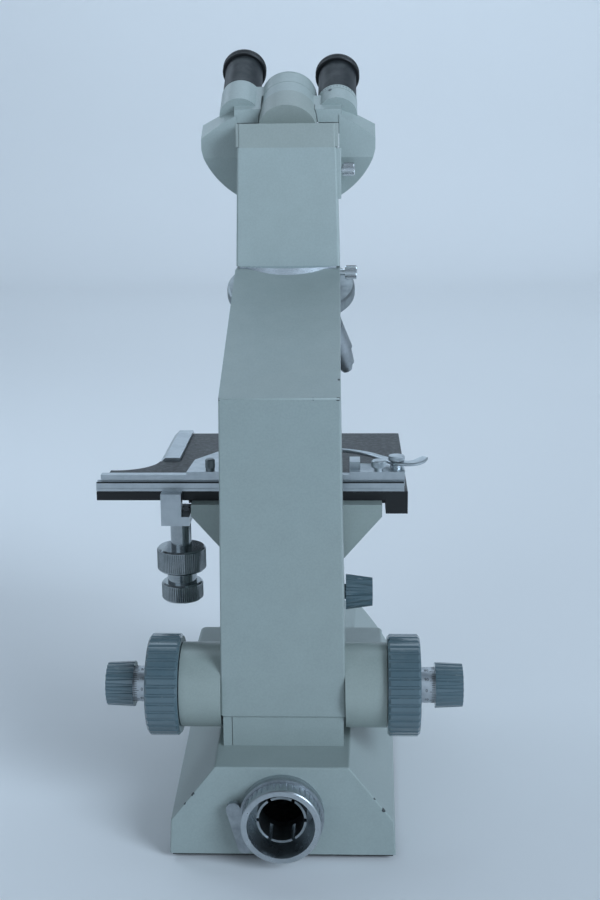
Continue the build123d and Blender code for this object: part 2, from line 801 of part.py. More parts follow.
def tube_housing(side, ring_start, boss_end_w):
    inner_v = -sqrt(drum_radius**2 - drum_inner**2)
    shoulder = Vector(drum_shoulder_u, drum_shoulder_v)
    outer_v = -sqrt(drum_radius**2 - drum_shoulder_u**2)
    middle = Vector(1, -1).normalized() * drum_radius
    with BuildPart() as housing:
        # Web over the foot, from the hinge ring out to the drum
        with BuildSketch(hinge_plane.offset(drum_low)):
            with Locations((0, web_top)):
                Rectangle(tube_u + web_lap, web_top + web_low, align=(Align.MIN, Align.MAX))
        extrude(amount=ring_start + ring_width - drum_low)
        split(bisect_by=Plane.XY.offset(head_foot_top + turn_gap), keep=Keep.TOP)
        split(bisect_by=Plane.XZ.offset(-web_rear), keep=Keep.TOP)
        with BuildSketch(hinge_plane.offset(drum_low)):
            Circle(trunk_radius + turn_gap)
        extrude(amount=ring_start - drum_low, mode=Mode.SUBTRACT)
        # Drum beside the tube block, flat at the rear
        with BuildSketch(hinge_plane.offset(drum_low)):
            with BuildLine():
                ThreePointArc((drum_inner, inner_v), (middle.X, middle.Y), (drum_shoulder_u, outer_v))
                Polyline(
                    (drum_shoulder_u, outer_v),
                    (shoulder.X, shoulder.Y),
                    (tube_u + tube_collar_radius - web_lap, drum_boss_v),
                    (drum_inner, web_top - web_lap),
                    (drum_inner, inner_v),
                )
            make_face()
        extrude(amount=drum_high - drum_low)
        split(bisect_by=Plane.XZ.offset(-drum_rear), keep=Keep.TOP)
        # Eyepiece boss and hinge ring
        with BuildSketch(hinge_plane):
            with Locations((tube_u, 0)):
                Circle(tube_collar_radius)
        extrude(amount=boss_end_w)
        with BuildSketch(hinge_plane.offset(ring_start)):
            Circle(ring_radius)
        extrude(amount=ring_width)
        with BuildSketch(hinge_plane):
            Circle(spindle_radius + run_gap)
        extrude(amount=spindle_length, mode=Mode.SUBTRACT)
        with BuildSketch(hinge_plane.offset(drum_high)):
            with Locations((tube_u, 0)):
                Circle(tube_bore)
        extrude(amount=collar_end, mode=Mode.SUBTRACT)
        if side < 0:
            mirror(about=Plane.YZ, mode=Mode.REPLACE)
    return housing


# Tube housings: the +X one carries the outer hinge ring, the -X one the inner ring
inner_ring_start = turn_gap
outer_ring_start = inner_ring_start + ring_width + turn_gap
right_housing = tube_housing(1, outer_ring_start, collar_end)
right_housing.part.label = "right_housing"
export_step(right_housing.part, "parts/right_housing.step")

left_housing = tube_housing(-1, inner_ring_start, left_boss_end)
left_housing.part.label = "left_housing"
export_step(left_housing.part, "parts/left_housing.step")


def eyepiece(u, seat_w, end_w, stem):
    with BuildPart() as ocular:
        with BuildSketch(hinge_plane.offset(seat_w - stem)):
            with Locations((u, 0)):
                Circle(tube_bore - run_gap)
        extrude(amount=end_w - seat_w + stem - eyepiece_rim_length)
        with BuildSketch(hinge_plane.offset(seat_w)):
            with Locations((u, 0)):
                Circle(eyepiece_barrel_radius)
        extrude(amount=end_w - seat_w - eyepiece_rim_length)
        with BuildSketch(hinge_plane.offset(end_w - eyepiece_rim_length)):
            with Locations((u, 0)):
                Circle(eyepiece_rim_radius)
        extrude(amount=eyepiece_rim_length)
        fillet(ocular.edges().filter_by(GeomType.CIRCLE).sort_by(hinge_axis)[-1], eyepiece_rim_round)
        with BuildSketch(hinge_plane.offset(end_w)):
            with Locations((u, 0)):
                Circle(eyepiece_rim_radius - eyepiece_rim_lip)
        with BuildSketch(hinge_plane.offset(end_w - eyepiece_dish)):
            with Locations((u, 0)):
                Circle(eyepiece_eye_radius)
        loft(mode=Mode.SUBTRACT)
        with BuildSketch(hinge_plane.offset(end_w - eyepiece_dish)):
            with Locations((u, 0)):
                Circle(eyepiece_eye_radius)
        extrude(amount=-eye_lens_thickness, mode=Mode.SUBTRACT)
    return ocular


def eye_lens(u, end_w):
    with BuildPart() as lens:
        with BuildSketch(hinge_plane.offset(end_w - eyepiece_dish - eye_lens_thickness)):
            with Locations((u, 0)):
                Circle(eyepiece_eye_radius)
        extrude(amount=eye_lens_thickness)
        fillet(lens.edges().filter_by(GeomType.CIRCLE).sort_by(hinge_axis)[-1], lens_edge)
    return lens


# Eyepieces: the right one stands drawn out a little, the left one rests in the dioptre ring
hinge_axis = Axis((0, 0, hinge_height), hinge_plane.z_dir)
right_eyepiece = eyepiece(tube_u, collar_end + eyepiece_shoulder_gap, right_eyepiece_end, right_stem)
right_eyepiece.part.label = "right_eyepiece"
export_step(right_eyepiece.part, "parts/right_eyepiece.step")
right_eye_lens = eye_lens(tube_u, right_eyepiece_end)
right_eye_lens.part.label = "right_eye_lens"
export_step(right_eye_lens.part, "parts/right_eye_lens.step")

left_eyepiece = eyepiece(-tube_u, diopter_end + turn_gap, left_eyepiece_end, left_stem)
left_eyepiece.part.label = "left_eyepiece"
export_step(left_eyepiece.part, "parts/left_eyepiece.step")
left_eye_lens = eye_lens(-tube_u, left_eyepiece_end)
left_eye_lens.part.label = "left_eye_lens"
export_step(left_eye_lens.part, "parts/left_eye_lens.step")

# Dioptre ring under the left eyepiece
with BuildPart() as diopter_ring:
    with BuildSketch(hinge_plane.offset(left_boss_end + turn_gap)):
        with Locations((-tube_u, 0)):
            Circle(diopter_radius)
            Circle(tube_bore + slide_gap, mode=Mode.SUBTRACT)
    extrude(amount=diopter_end - left_boss_end - turn_gap)
diopter_ring.part.label = "diopter_ring"
export_step(diopter_ring.part, "parts/diopter_ring.step")

# Coarse drive: a hollow axle through both bosses, with a fluted knob at each end
axle_radius = axle_hole_radius - run_gap
with BuildPart() as coarse_shaft:
    with BuildSketch(Plane.YZ.offset(-coarse_knob_end)):
        with Locations((drive_y, drive_z)):
            Circle(axle_radius)
            Circle(fine_shaft_radius + run_gap, mode=Mode.SUBTRACT)
    extrude(amount=2 * coarse_knob_end)
coarse_shaft.part.label = "coarse_shaft"
export_step(coarse_shaft.part, "parts/coarse_shaft.step")

with BuildPart() as right_coarse_knob:
    with BuildSketch(Plane.YZ.offset(boss_end + turn_gap)):
        with Locations((drive_y, drive_z)):
            Circle(coarse_knob_radius)
    extrude(amount=coarse_knob_end - boss_end - turn_gap)
    chamfer(right_coarse_knob.edges(), coarse_knob_chamfer)
    with BuildSketch(Plane.YZ.offset(boss_end)):
        with Locations((drive_y, drive_z)):
            Circle(axle_radius)
            with PolarLocations(coarse_knob_radius, coarse_flute_count):
                Circle(coarse_flute_radius)
    extrude(amount=coarse_knob_end - boss_end, mode=Mode.SUBTRACT)
right_coarse_knob.part.label = "right_coarse_knob"
export_step(right_coarse_knob.part, "parts/right_coarse_knob.step")

with BuildPart() as left_coarse_knob:
    mirror(right_coarse_knob.part, about=Plane.YZ)
left_coarse_knob.part.label = "left_coarse_knob"
export_step(left_coarse_knob.part, "parts/left_coarse_knob.step")

# Fine drive: a solid shaft through the axle, graduated sleeves and tapered knobs
with BuildPart() as fine_shaft:
    with BuildSketch(Plane.YZ.offset(-fine_shaft_reach)):
        with Locations((drive_y, drive_z)):
            Circle(fine_shaft_radius)
    extrude(amount=2 * fine_shaft_reach)
fine_shaft.part.label = "fine_shaft"
export_step(fine_shaft.part, "parts/fine_shaft.step")

with BuildPart() as scale_sleeves:
    with BuildSketch(Plane.YZ.offset(coarse_knob_end + turn_gap)):
        with Locations((drive_y, drive_z)):
            Circle(scale_radius)
            Circle(fine_shaft_radius, mode=Mode.SUBTRACT)
    extrude(amount=scale_end - coarse_knob_end - turn_gap)
    mirror(about=Plane.YZ)
scale_sleeves.part.label = "scale_sleeves"
export_step(scale_sleeves.part, "parts/scale_sleeves.step")

with BuildPart() as right_fine_knob:
    with BuildSketch(Plane.YZ.offset(scale_end)):
        with Locations((drive_y, drive_z)):
            Circle(fine_knob_radius)
            with PolarLocations(fine_knob_radius, fine_flute_count):
                Circle(fine_flute_radius, mode=Mode.SUBTRACT)
    extrude(amount=fine_knob_end - scale_end, taper=fine_knob_taper)
    with BuildSketch(Plane.YZ.offset(scale_end)):
        with Locations((drive_y, drive_z)):
            Circle(fine_shaft_radius)
    extrude(amount=fine_shaft_reach - scale_end, mode=Mode.SUBTRACT)
right_fine_knob.part.label = "right_fine_knob"
export_step(right_fine_knob.part, "parts/right_fine_knob.step")

with BuildPart() as left_fine_knob:
    mirror(right_fine_knob.part, about=Plane.YZ)
left_fine_knob.part.label = "left_fine_knob"
export_step(left_fine_knob.part, "parts/left_fine_knob.step")

# Focus slide: a T-shaped tongue in the column way, with the fine guide on its front
slide_back = column_front - slide_gap
slide_front = slide_back - slide_plate_thickness
fine_rail_front = slide_front - 2 * fine_rail_depth
slide_bars = [
    (way_half - slide_gap, column_front + way_lip + slide_gap, column_front + way_depth - slide_gap),
    (way_half - way_lip_inset - slide_gap, slide_front, column_front + way_depth - slide_gap),
    (slide_plate_half, slide_front, slide_back),
    (fine_neck_half, fine_rail_front, slide_front),
    (fine_rail_half, fine_rail_front, fine_rail_front + fine_rail_depth),
]
with BuildPart() as focus_slide:
    for half_width, y_from, y_to in slide_bars:
        with BuildSketch(Plane.XY.offset(slide_bottom)):
            with Locations((0, (y_from + y_to) / 2)):
                Rectangle(2 * half_width, y_to - y_from)
        extrude(amount=slide_top - slide_bottom)
focus_slide.part.label = "focus_slide"
export_step(focus_slide.part, "parts/focus_slide.step")

# Stage carrier: back plate with gussets, and the frame that the stage slides on
carrier_back = slide_front - slide_gap
frame_top = stage_bottom - slide_gap
condenser_way_back = carrier_front + condenser_rail_neck + condenser_rail_head
carrier_slots = [
    (fine_neck_half + slide_gap, fine_rail_front - slide_gap, carrier_back),
    (fine_rail_half + slide_gap, fine_rail_front - slide_gap, fine_rail_front + fine_rail_depth + slide_gap),
    (condenser_neck_half + slide_gap, carrier_front, condenser_way_back),
    (condenser_rail_half + slide_gap, carrier_front + condenser_rail_neck, condenser_way_back),
]
with BuildPart() as stage_carrier:
    with BuildSketch(Plane.XZ.offset(-carrier_back)):
        with BuildLine():
            Polyline(
                (-carrier_half, carrier_bottom),
                (-carrier_half, gusset_foot),
                (-gusset_half, gusset_low),
                (-gusset_half, frame_top),
                (gusset_half, frame_top),
                (gusset_half, gusset_low),
                (carrier_half, gusset_foot),
                (carrier_half, carrier_bottom),
                close=True,
            )
        make_face()
    extrude(amount=carrier_back - carrier_front)
    for half_width, y_from, y_to in carrier_slots:
        with BuildSketch(Plane.XY.offset(carrier_bottom)):
            with Locations((0, (y_from + y_to) / 2)):
                Rectangle(2 * half_width, y_to - y_from)
        extrude(amount=frame_bottom - carrier_bottom, mode=Mode.SUBTRACT)
    with BuildSketch(Plane.XY.offset(frame_bottom)):
        with Locations((0, (frame_front + carrier_front) / 2)):
            RectangleRounded(2 * frame_half, carrier_front - frame_front, frame_corner)
        with Locations((0, carrier_front)):
            Rectangle(2 * frame_half, 2 * frame_corner, align=(Align.CENTER, Align.MAX))
    extrude(amount=frame_top - frame_bottom)
    with BuildSketch(Plane.XY.offset(frame_bottom)):
        Circle(frame_hole_radius)
    extrude(amount=frame_top - frame_bottom, mode=Mode.SUBTRACT)
    with BuildSketch(Plane.YZ.offset(-gusset_half)):
        with Locations((condenser_knob_y, condenser_knob_z)):
            Circle(condenser_pinion_radius + run_gap)
    extrude(amount=gusset_half - condenser_pinion_end + pinion_end_gap, mode=Mode.SUBTRACT)
stage_carrier.part.label = "stage_carrier"
export_step(stage_carrier.part, "parts/stage_carrier.step")

# Stage plate with the swept wing under the cross rail
with BuildPart() as stage_plate:
    with BuildSketch(Plane.XY.offset(stage_bottom)):
        with BuildLine():
            Polyline(
                (wing_root_x, wing_root_y),
                (stage_right, wing_root_y),
                (stage_right, stage_front),
                (stage_left, stage_front),
                (stage_left, stage_rear),
                (wing_right, stage_rear),
                (wing_right, wing_y),
            )
            ThreePointArc((wing_right, wing_y), wing_knee, (wing_root_x, wing_root_y))
        make_face()
        RectangleRounded(stage_slot_width, stage_slot_length, stage_slot_width / 2 - 1, mode=Mode.SUBTRACT)
    extrude(amount=stage_top - stage_bottom)
    chamfer(stage_plate.faces().sort_by(Axis.Z)[-1].outer_wire().edges(), 0.5)
stage_plate.part.label = "stage_plate"
export_step(stage_plate.part, "parts/stage_plate.step")

# Guides under the stage that hook round the edges of the frame, and the rear corner block
guide_inner = frame_half + slide_gap
corner_block_width = -stage_left - frame_half - corner_block_gap
with BuildPart() as stage_guides:
    with BuildSketch(Plane.XZ.offset(-guide_rear)):
        with BuildLine():
            Polyline(
                (guide_inner, stage_bottom),
                (guide_inner + guide_width, stage_bottom),
                (guide_inner + guide_width, frame_bottom - slide_gap - guide_lip_height),
                (guide_inner - guide_lip, frame_bottom - slide_gap - guide_lip_height),
                (guide_inner - guide_lip, frame_bottom - slide_gap),
                (guide_inner, frame_bottom - slide_gap),
                close=True,
            )
        make_face()
    extrude(amount=guide_rear - guide_front)
    mirror(about=Plane.YZ)
    with BuildSketch(Plane.XY.offset(corner_block_bottom)):
        with Locations((stage_left + corner_block_width / 2, stage_rear - corner_block_length / 2)):
            Rectangle(corner_block_width, corner_block_length)
    extrude(amount=stage_bottom - corner_block_bottom)
stage_guides.part.label = "stage_guides"
export_step(stage_guides.part, "parts/stage_guides.step")

# Bright side strip along the right edge of the stage
with BuildPart() as side_strip:
    with BuildSketch(Plane.XZ.offset(-strip_rear)):
        with BuildLine():
            Polyline(
                (stage_right, strip_bottom),
                (stage_right + strip_width, strip_bottom),
                (stage_right + strip_width, strip_top - strip_bevel),
                (stage_right + strip_width - strip_bevel, strip_top),
                (stage_right, strip_top),
                close=True,
            )
        make_face()
    extrude(amount=strip_rear - strip_front)
side_strip.part.label = "side_strip"
export_step(side_strip.part, "parts/side_strip.step")

# Cross rail along the rear edge of the stage, grooved for the slider
rail_middle = stage_rear - rail_depth / 2
with BuildPart() as cross_rail:
    with BuildSketch(Plane.YZ.offset(rail_left)):
        with Locations((rail_middle, (stage_top + rail_top) / 2)):
            Rectangle(rail_depth, rail_top - stage_top)
        with Locations((rail_middle, rail_top - rail_groove_depth / 2)):
            Rectangle(rail_groove_width, rail_groove_depth, mode=Mode.SUBTRACT)
    extrude(amount=wing_right - rail_left)
cross_rail.part.label = "cross_rail"
export_step(cross_rail.part, "parts/cross_rail.step")

# Cross slider: the bar above the rail, with a tongue in its groove
with BuildPart() as cross_slider:
    with BuildSketch(Plane.YZ.offset(slider_left)):
        with Locations((rail_middle, (slider_bottom + slider_top) / 2)):
            Rectangle(slider_depth, slider_top - slider_bottom)
        with Locations((rail_middle, (rail_top - rail_groove_depth + slide_gap + slider_bottom) / 2)):
            Rectangle(
                rail_groove_width - 2 * slide_gap,
                slider_bottom - (rail_top - rail_groove_depth + slide_gap),
            )
    extrude(amount=slider_right - slider_left)
cross_slider.part.label = "cross_slider"
export_step(cross_slider.part, "parts/cross_slider.step")

# Fixed jaw for the specimen slide, on the slider
slider_rear = rail_middle + slider_depth / 2
with BuildPart() as side_jaw:
    with BuildSketch(Plane.XY.offset(slider_top)):
        with BuildLine():
            Polyline(
                (jaw_outer, slider_rear),
                jaw_elbow,
                (jaw_tip_outer, jaw_tip),
                (jaw_tip_inner, jaw_tip),
                (jaw_tip_inner, jaw_step),
                jaw_heel,
                (jaw_heel[0], slider_rear),
                close=True,
            )
        make_face()
    extrude(amount=holder_thickness)
side_jaw.part.label = "side_jaw"
export_step(side_jaw.part, "parts/side_jaw.step")

# Knurled screw that holds the jaw
holder_top = slider_top + holder_thickness
with BuildPart() as jaw_knob:
    with BuildSketch(Plane.XY.offset(holder_top)):
        with Locations((jaw_knob_x, rail_middle)):
            Circle(jaw_knob_radius)
    extrude(amount=jaw_knob_height)
    chamfer(jaw_knob.edges().group_by(Axis.Z)[-1], small_chamfer)
jaw_knob.part.label = "jaw_knob"
export_step(jaw_knob.part, "parts/jaw_knob.step")

# Finger holder: plate with a stop, and the pin that the finger swings on
with BuildPart() as finger_holder:
    with BuildSketch(Plane.XY.offset(slider_top)):
        with Locations(((holder_left + holder_right) / 2, (holder_front + slider_rear) / 2)):
            Rectangle(holder_right - holder_left, slider_rear - holder_front)
    extrude(amount=holder_thickness)
    with BuildSketch(Plane.XY.offset(holder_top)):
        with Locations((holder_right, holder_front)):
            Rectangle(stop_width, stop_length, align=(Align.MAX, Align.MIN))
    extrude(amount=stop_height)
    with BuildSketch(Plane.XY.offset(holder_top)):
        with Locations((post_x, post_y)):
            Circle(post_base_radius)
    extrude(amount=post_base)
    with BuildSketch(Plane.XY.offset(holder_top + post_base)):
        with Locations((post_x, post_y)):
            Circle(post_pin_radius)
    extrude(amount=finger_thickness + 2 * turn_gap + post_cap)
finger_holder.part.label = "finger_holder"
export_step(finger_holder.part, "parts/finger_holder.step")

# Knurled heads on the holder: the fixing screw and the cap over the finger
cap_bottom = holder_top + post_base + finger_thickness + 2 * turn_gap
with BuildPart() as holder_screws:
    with BuildSketch(Plane.XY.offset(holder_top)):
        with Locations((screw_x, rail_middle)):
            Circle(screw_radius - screw_undercut)
    extrude(amount=screw_height)
    with BuildSketch(Plane.XY.offset(holder_top + screw_neck)):
        with Locations((screw_x, rail_middle)):
            Circle(screw_radius)
    extrude(amount=screw_height - screw_neck)
    chamfer(holder_screws.edges().group_by(Axis.Z)[-1], knurl_chamfer)
    with BuildSketch(Plane.XY.offset(cap_bottom)):
        with Locations((post_x, post_y)):
            Circle(post_radius)
            Circle(post_pin_radius, mode=Mode.SUBTRACT)
    extrude(amount=post_cap)
holder_screws.part.label = "holder_screws"
export_step(holder_screws.part, "parts/holder_screws.step")

# Slide finger: a curved bar on the post, with a thumb tail behind it
finger_bottom = holder_top + post_base + turn_gap
post = Vector(post_x, post_y)
with BuildPart() as slide_finger:
    with BuildSketch(Plane.XY.offset(finger_bottom)):
        with BuildLine(mode=Mode.PRIVATE):
            finger_arm = ThreePointArc(post, post + finger_bend, post + finger_tip)
            finger_tail = ThreePointArc(post, post + tail_bend, post + tail_tip)
        SlotArc(finger_arm, finger_width)
        SlotArc(finger_tail, finger_width)
        with Locations(post):
            Circle(post_base_radius)
            Circle(post_pin_radius + run_gap, mode=Mode.SUBTRACT)
    extrude(amount=finger_thickness)
slide_finger.part.label = "slide_finger"
export_step(slide_finger.part, "parts/slide_finger.step")

# Drive bracket on the rear edge of the stage, with the bearing foot of the coaxial knobs
with BuildPart() as drive_bracket:
    with BuildSketch(Plane.XZ.offset(-stage_rear)):
        with Locations(((bracket_left + bracket_right) / 2, (bracket_bottom + stage_top) / 2)):
            Rectangle(bracket_right - bracket_left, stage_top - bracket_bottom)
    extrude(amount=-bracket_depth)
    with BuildSketch(Plane.XY.offset(bracket_bottom)):
        with Locations((bracket_foot_left, bracket_foot_front)):
            Rectangle(
                bracket_right - bracket_foot_left,
                stage_rear + bracket_depth - bracket_foot_front,
                align=(Align.MIN, Align.MIN),
            )
    extrude(amount=bracket_foot_thickness)
    with BuildSketch(Plane.XY.offset(bracket_bottom)):
        with Locations((coax_x, coax_y)):
            Circle(sleeve_shaft_radius + run_gap)
    extrude(amount=bracket_foot_thickness, mode=Mode.SUBTRACT)
drive_bracket.part.label = "drive_bracket"
export_step(drive_bracket.part, "parts/drive_bracket.step")

# Coaxial knobs: the upper one on a sleeve, the lower one on the shaft inside it
knob_shaft_top = bracket_bottom + bracket_foot_thickness
with BuildPart() as y_knob:
    with BuildSketch(Plane.XY.offset(y_knob_bottom)):
        with Locations((coax_x, coax_y)):
            Circle(y_knob_radius)
    extrude(amount=y_knob_top - y_knob_bottom)
    chamfer(y_knob.edges(), stage_knob_chamfer)
    with BuildSketch(Plane.XY.offset(y_knob_bottom)):
        with Locations((coax_x, coax_y)):
            Circle(sleeve_shaft_radius)
    extrude(amount=knob_shaft_top - y_knob_bottom)
    with BuildSketch(Plane.XY.offset(y_knob_bottom)):
        with Locations((coax_x, coax_y)):
            Circle(inner_shaft_radius + run_gap)
    extrude(amount=knob_shaft_top - y_knob_bottom, mode=Mode.SUBTRACT)
y_knob.part.label = "y_knob"
export_step(y_knob.part, "parts/y_knob.step")

with BuildPart() as x_knob:
    with BuildSketch(Plane.XY.offset(x_knob_bottom)):
        with Locations((coax_x, coax_y)):
            Circle(x_knob_radius)
    extrude(amount=x_knob_top - x_knob_bottom)
    chamfer(x_knob.edges(), stage_knob_chamfer)
    with BuildSketch(Plane.XY.offset(x_knob_bottom)):
        with Locations((coax_x, coax_y)):
            Circle(x_collar_radius)
    extrude(amount=x_collar_top - x_knob_bottom)
    with BuildSketch(Plane.XY.offset(x_knob_bottom)):
        with Locations((coax_x, coax_y)):
            Circle(inner_shaft_radius)
    extrude(amount=knob_shaft_top - x_knob_bottom)
x_knob.part.label = "x_knob"
export_step(x_knob.part, "parts/x_knob.step")

# Condenser slide: a tongue in the front of the carrier and the ring that holds the condenser
condenser_block_front = carrier_front - slide_gap - condenser_block_depth
tongue_back = condenser_way_back - slide_gap
condenser_bars = [
    (condenser_block_half, condenser_block_front, carrier_front - slide_gap),
    (condenser_neck_half, condenser_block_front, tongue_back),
    (condenser_rail_half, carrier_front + condenser_rail_neck + slide_gap, tongue_back),
]
with BuildPart() as condenser_slide:
    for half_width, y_from, y_to in condenser_bars:
        with BuildSketch(Plane.XY.offset(condenser_slide_bottom)):
            with Locations((0, (y_from + y_to) / 2)):
                Rectangle(2 * half_width, y_to - y_from)
        extrude(amount=condenser_slide_top - condenser_slide_bottom)
    with BuildSketch(Plane.XY.offset(condenser_ring_bottom)):
        Circle(condenser_ring_radius)
        with Locations((0, condenser_block_front / 2)):
            Rectangle(2 * condenser_arm_half, condenser_block_front)
    extrude(amount=condenser_ring_top - condenser_ring_bottom)
    with BuildSketch(Plane.XY.offset(condenser_ring_bottom)):
        Circle(condenser_radius)
    extrude(amount=condenser_ring_top - condenser_ring_bottom, mode=Mode.SUBTRACT)
condenser_slide.part.label = "condenser_slide"
export_step(condenser_slide.part, "parts/condenser_slide.step")

# Condenser barrel with its top lens
with BuildPart() as condenser_body:
    with BuildSketch(Plane.XY.offset(condenser_bottom)):
        Circle(condenser_low_radius)
    extrude(amount=condenser_ring_bottom - condenser_bottom)
    with BuildSketch(Plane.XY.offset(iris_bottom + iris_thickness + turn_gap)):
        Circle(condenser_radius)
    extrude(amount=condenser_top - condenser_nose - iris_bottom - iris_thickness - turn_gap)
    with BuildSketch(Plane.XY.offset(condenser_top - condenser_nose)):
        Circle(condenser_radius)
    extrude(amount=condenser_nose, taper=condenser_nose_taper)
    with BuildSketch(Plane.XY.offset(condenser_bottom)):
        Circle(condenser_lens_radius)
    extrude(amount=condenser_top - condenser_bottom, mode=Mode.SUBTRACT)
condenser_body.part.label = "condenser_body"
export_step(condenser_body.part, "parts/condenser_body.step")

with BuildPart() as condenser_lens:
    with BuildSketch(Plane.XY.offset(condenser_top - condenser_lens_thickness)):
        Circle(condenser_lens_radius)
    extrude(amount=condenser_lens_thickness)
    fillet(condenser_lens.edges().group_by(Axis.Z)[-1], lens_edge)
condenser_lens.part.label = "condenser_lens"
export_step(condenser_lens.part, "parts/condenser_lens.step")

# Iris lever ring under the condenser barrel
with BuildPart() as iris_lever:
    with BuildSketch(Plane.XY.offset(iris_bottom)):
        Circle(iris_ring_radius)
    extrude(amount=iris_thickness)
    with BuildSketch(Plane.XZ):
        with Locations((0, iris_bottom + iris_thickness / 2)):
            Circle(iris_lever_radius)
    extrude(amount=iris_lever_reach)
    with BuildSketch(Plane.XY.offset(iris_bottom)):
        Circle(condenser_low_radius + run_gap)
    extrude(amount=iris_thickness, mode=Mode.SUBTRACT)
iris_lever.part.label = "iris_lever"
export_step(iris_lever.part, "parts/iris_lever.step")

# Condenser focus knob on the -X side of the carrier
with BuildPart() as condenser_knob:
    with BuildSketch(Plane.YZ.offset(-condenser_knob_start)):
        with Locations((condenser_knob_y, condenser_knob_z)):
            Circle(condenser_knob_radius)
            with PolarLocations(condenser_knob_radius, condenser_flute_count):
                Circle(condenser_flute_radius, mode=Mode.SUBTRACT)
    extrude(amount=-(condenser_knob_end - condenser_knob_start), taper=condenser_knob_taper)
    with BuildSketch(Plane.YZ.offset(-condenser_knob_start)):
        with Locations((condenser_knob_y, condenser_knob_z)):
            Circle(condenser_neck_radius)
    extrude(amount=condenser_knob_start - carrier_half - turn_gap)
    with BuildSketch(Plane.YZ.offset(-condenser_knob_start)):
        with Locations((condenser_knob_y, condenser_knob_z)):
            Circle(condenser_pinion_radius)
    extrude(amount=condenser_knob_start - condenser_pinion_end)
condenser_knob.part.label = "condenser_knob"
export_step(condenser_knob.part, "parts/condenser_knob.step")

# Nosepiece mount on the underside of the arm, with the pivot of the turret
with BuildPart() as nosepiece_mount:
    with BuildSketch(nose_plane):
        Circle(mount_radius)
    extrude(amount=-mount_thickness)
    with BuildSketch(nose_plane.offset(-mount_thickness)):
        Circle(pivot_radius)
    extrude(amount=-(turret_thickness + turn_gap))
    with BuildSketch(Plane.XY.offset(arm_throat_z)):
        Circle(objective_bore)
    extrude(amount=arm_top - arm_throat_z, mode=Mode.SUBTRACT)
nosepiece_mount.part.label = "nosepiece_mount"
export_step(nosepiece_mount.part, "parts/nosepiece_mount.step")

# Objective seats lie on a cone about the turret axis
turret_face = turret_plane.offset(-turret_thickness / 2)
seat_radius = -turret_face.origin.Y / cos(tilt)


def seat_plane(angle):
    turn = radians(angle)
    outward = turret_face.x_dir * cos(turn) + turret_face.y_dir * sin(turn)
    across = turret_face.y_dir * cos(turn) - turret_face.x_dir * sin(turn)
    down = outward * sin(tilt) - turret_face.z_dir * cos(tilt)
    return Plane(origin=turret_face.origin + outward * seat_radius, x_dir=across, z_dir=down)


# Turret: a gripped disc with a bored seat for each objective
seat_angles = [90 + 360 / objective_count * index for index in range(objective_count)]
with BuildPart() as turret:
    with BuildSketch(turret_plane.offset(turret_thickness / 2)):
        Circle(turret_radius)
    extrude(amount=-turret_thickness)
    chamfer(turret.edges(), turret_chamfer)
    for angle in seat_angles:
        with BuildSketch(seat_plane(angle).offset(-turret_thickness)):
            Circle(objective_boss_radius)
        extrude(amount=turret_thickness + objective_boss_length)
    with BuildSketch(turret_plane.offset(turret_thickness / 2)):
        Rectangle(3 * turret_radius, 3 * turret_radius)
    extrude(amount=turret_radius, mode=Mode.SUBTRACT)
    for angle in seat_angles:
        with BuildSketch(seat_plane(angle).offset(objective_boss_length)):
            Circle(objective_bore)
        extrude(amount=-(objective_boss_length + 2 * turret_thickness), mode=Mode.SUBTRACT)
    with BuildSketch(turret_plane.offset(turret_thickness / 2)):
        Circle(pivot_radius + run_gap)
    extrude(amount=-turret_thickness, mode=Mode.SUBTRACT)
turret.part.label = "turret"
export_step(turret.part, "parts/turret.step")


def objective(angle, length):
    # Turned barrel stepping down to the front lens
    seat = seat_plane(angle).offset(objective_boss_length)
    barrel = length - objective_neck_length - objective_tip_length
    with BuildPart() as lens_barrel:
        with BuildSketch(seat):
            Circle(objective_barrel_radius)
        extrude(amount=barrel)
        with BuildSketch(seat.offset(barrel)):
            Circle(objective_barrel_radius - objective_step)
        with BuildSketch(seat.offset(barrel + objective_neck_length)):
            Circle(objective_nose_radius)
        loft(ruled=True)
        with BuildSketch(seat.offset(length - objective_tip_length)):
            Circle(objective_nose_radius - 1)
        with BuildSketch(seat.offset(length)):
            Circle(objective_tip_radius)
        loft(ruled=True)
    return lens_barrel


# Objectives, rear one in the working place
for name, angle, length in zip(objective_names, seat_angles, objective_lengths):
    lens_barrel = objective(angle, length)
    lens_barrel.part.label = name
    export_step(lens_barrel.part, f"parts/{name}.step")
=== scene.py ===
import bpy
import bmesh
from math import cos, pi, radians, sin, tau
from mathutils import Matrix, Vector


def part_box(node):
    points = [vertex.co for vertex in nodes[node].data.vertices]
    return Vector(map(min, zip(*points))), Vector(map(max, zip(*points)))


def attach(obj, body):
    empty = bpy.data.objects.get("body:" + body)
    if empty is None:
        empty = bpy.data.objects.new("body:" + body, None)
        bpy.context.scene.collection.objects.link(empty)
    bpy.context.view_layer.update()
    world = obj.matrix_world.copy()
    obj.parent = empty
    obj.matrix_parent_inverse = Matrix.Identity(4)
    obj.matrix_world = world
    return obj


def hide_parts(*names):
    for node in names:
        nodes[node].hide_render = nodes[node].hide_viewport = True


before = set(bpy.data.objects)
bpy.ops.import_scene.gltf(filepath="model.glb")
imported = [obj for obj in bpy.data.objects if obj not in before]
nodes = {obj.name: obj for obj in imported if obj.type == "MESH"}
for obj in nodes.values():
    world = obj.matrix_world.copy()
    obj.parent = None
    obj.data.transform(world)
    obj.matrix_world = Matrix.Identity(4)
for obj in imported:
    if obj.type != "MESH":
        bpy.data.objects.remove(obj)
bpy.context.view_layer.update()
scene = bpy.context.scene
mm = 0.001                                # the settings below are in mm, the scene in metres


def srgb(r, g, b):                        # screen values to the linear values that sockets take
    def lin(v):
        v = v / 255
        return v / 12.92 if v <= 0.04045 else ((v + 0.055) / 1.055) ** 2.4
    return (lin(r), lin(g), lin(b), 1.0)


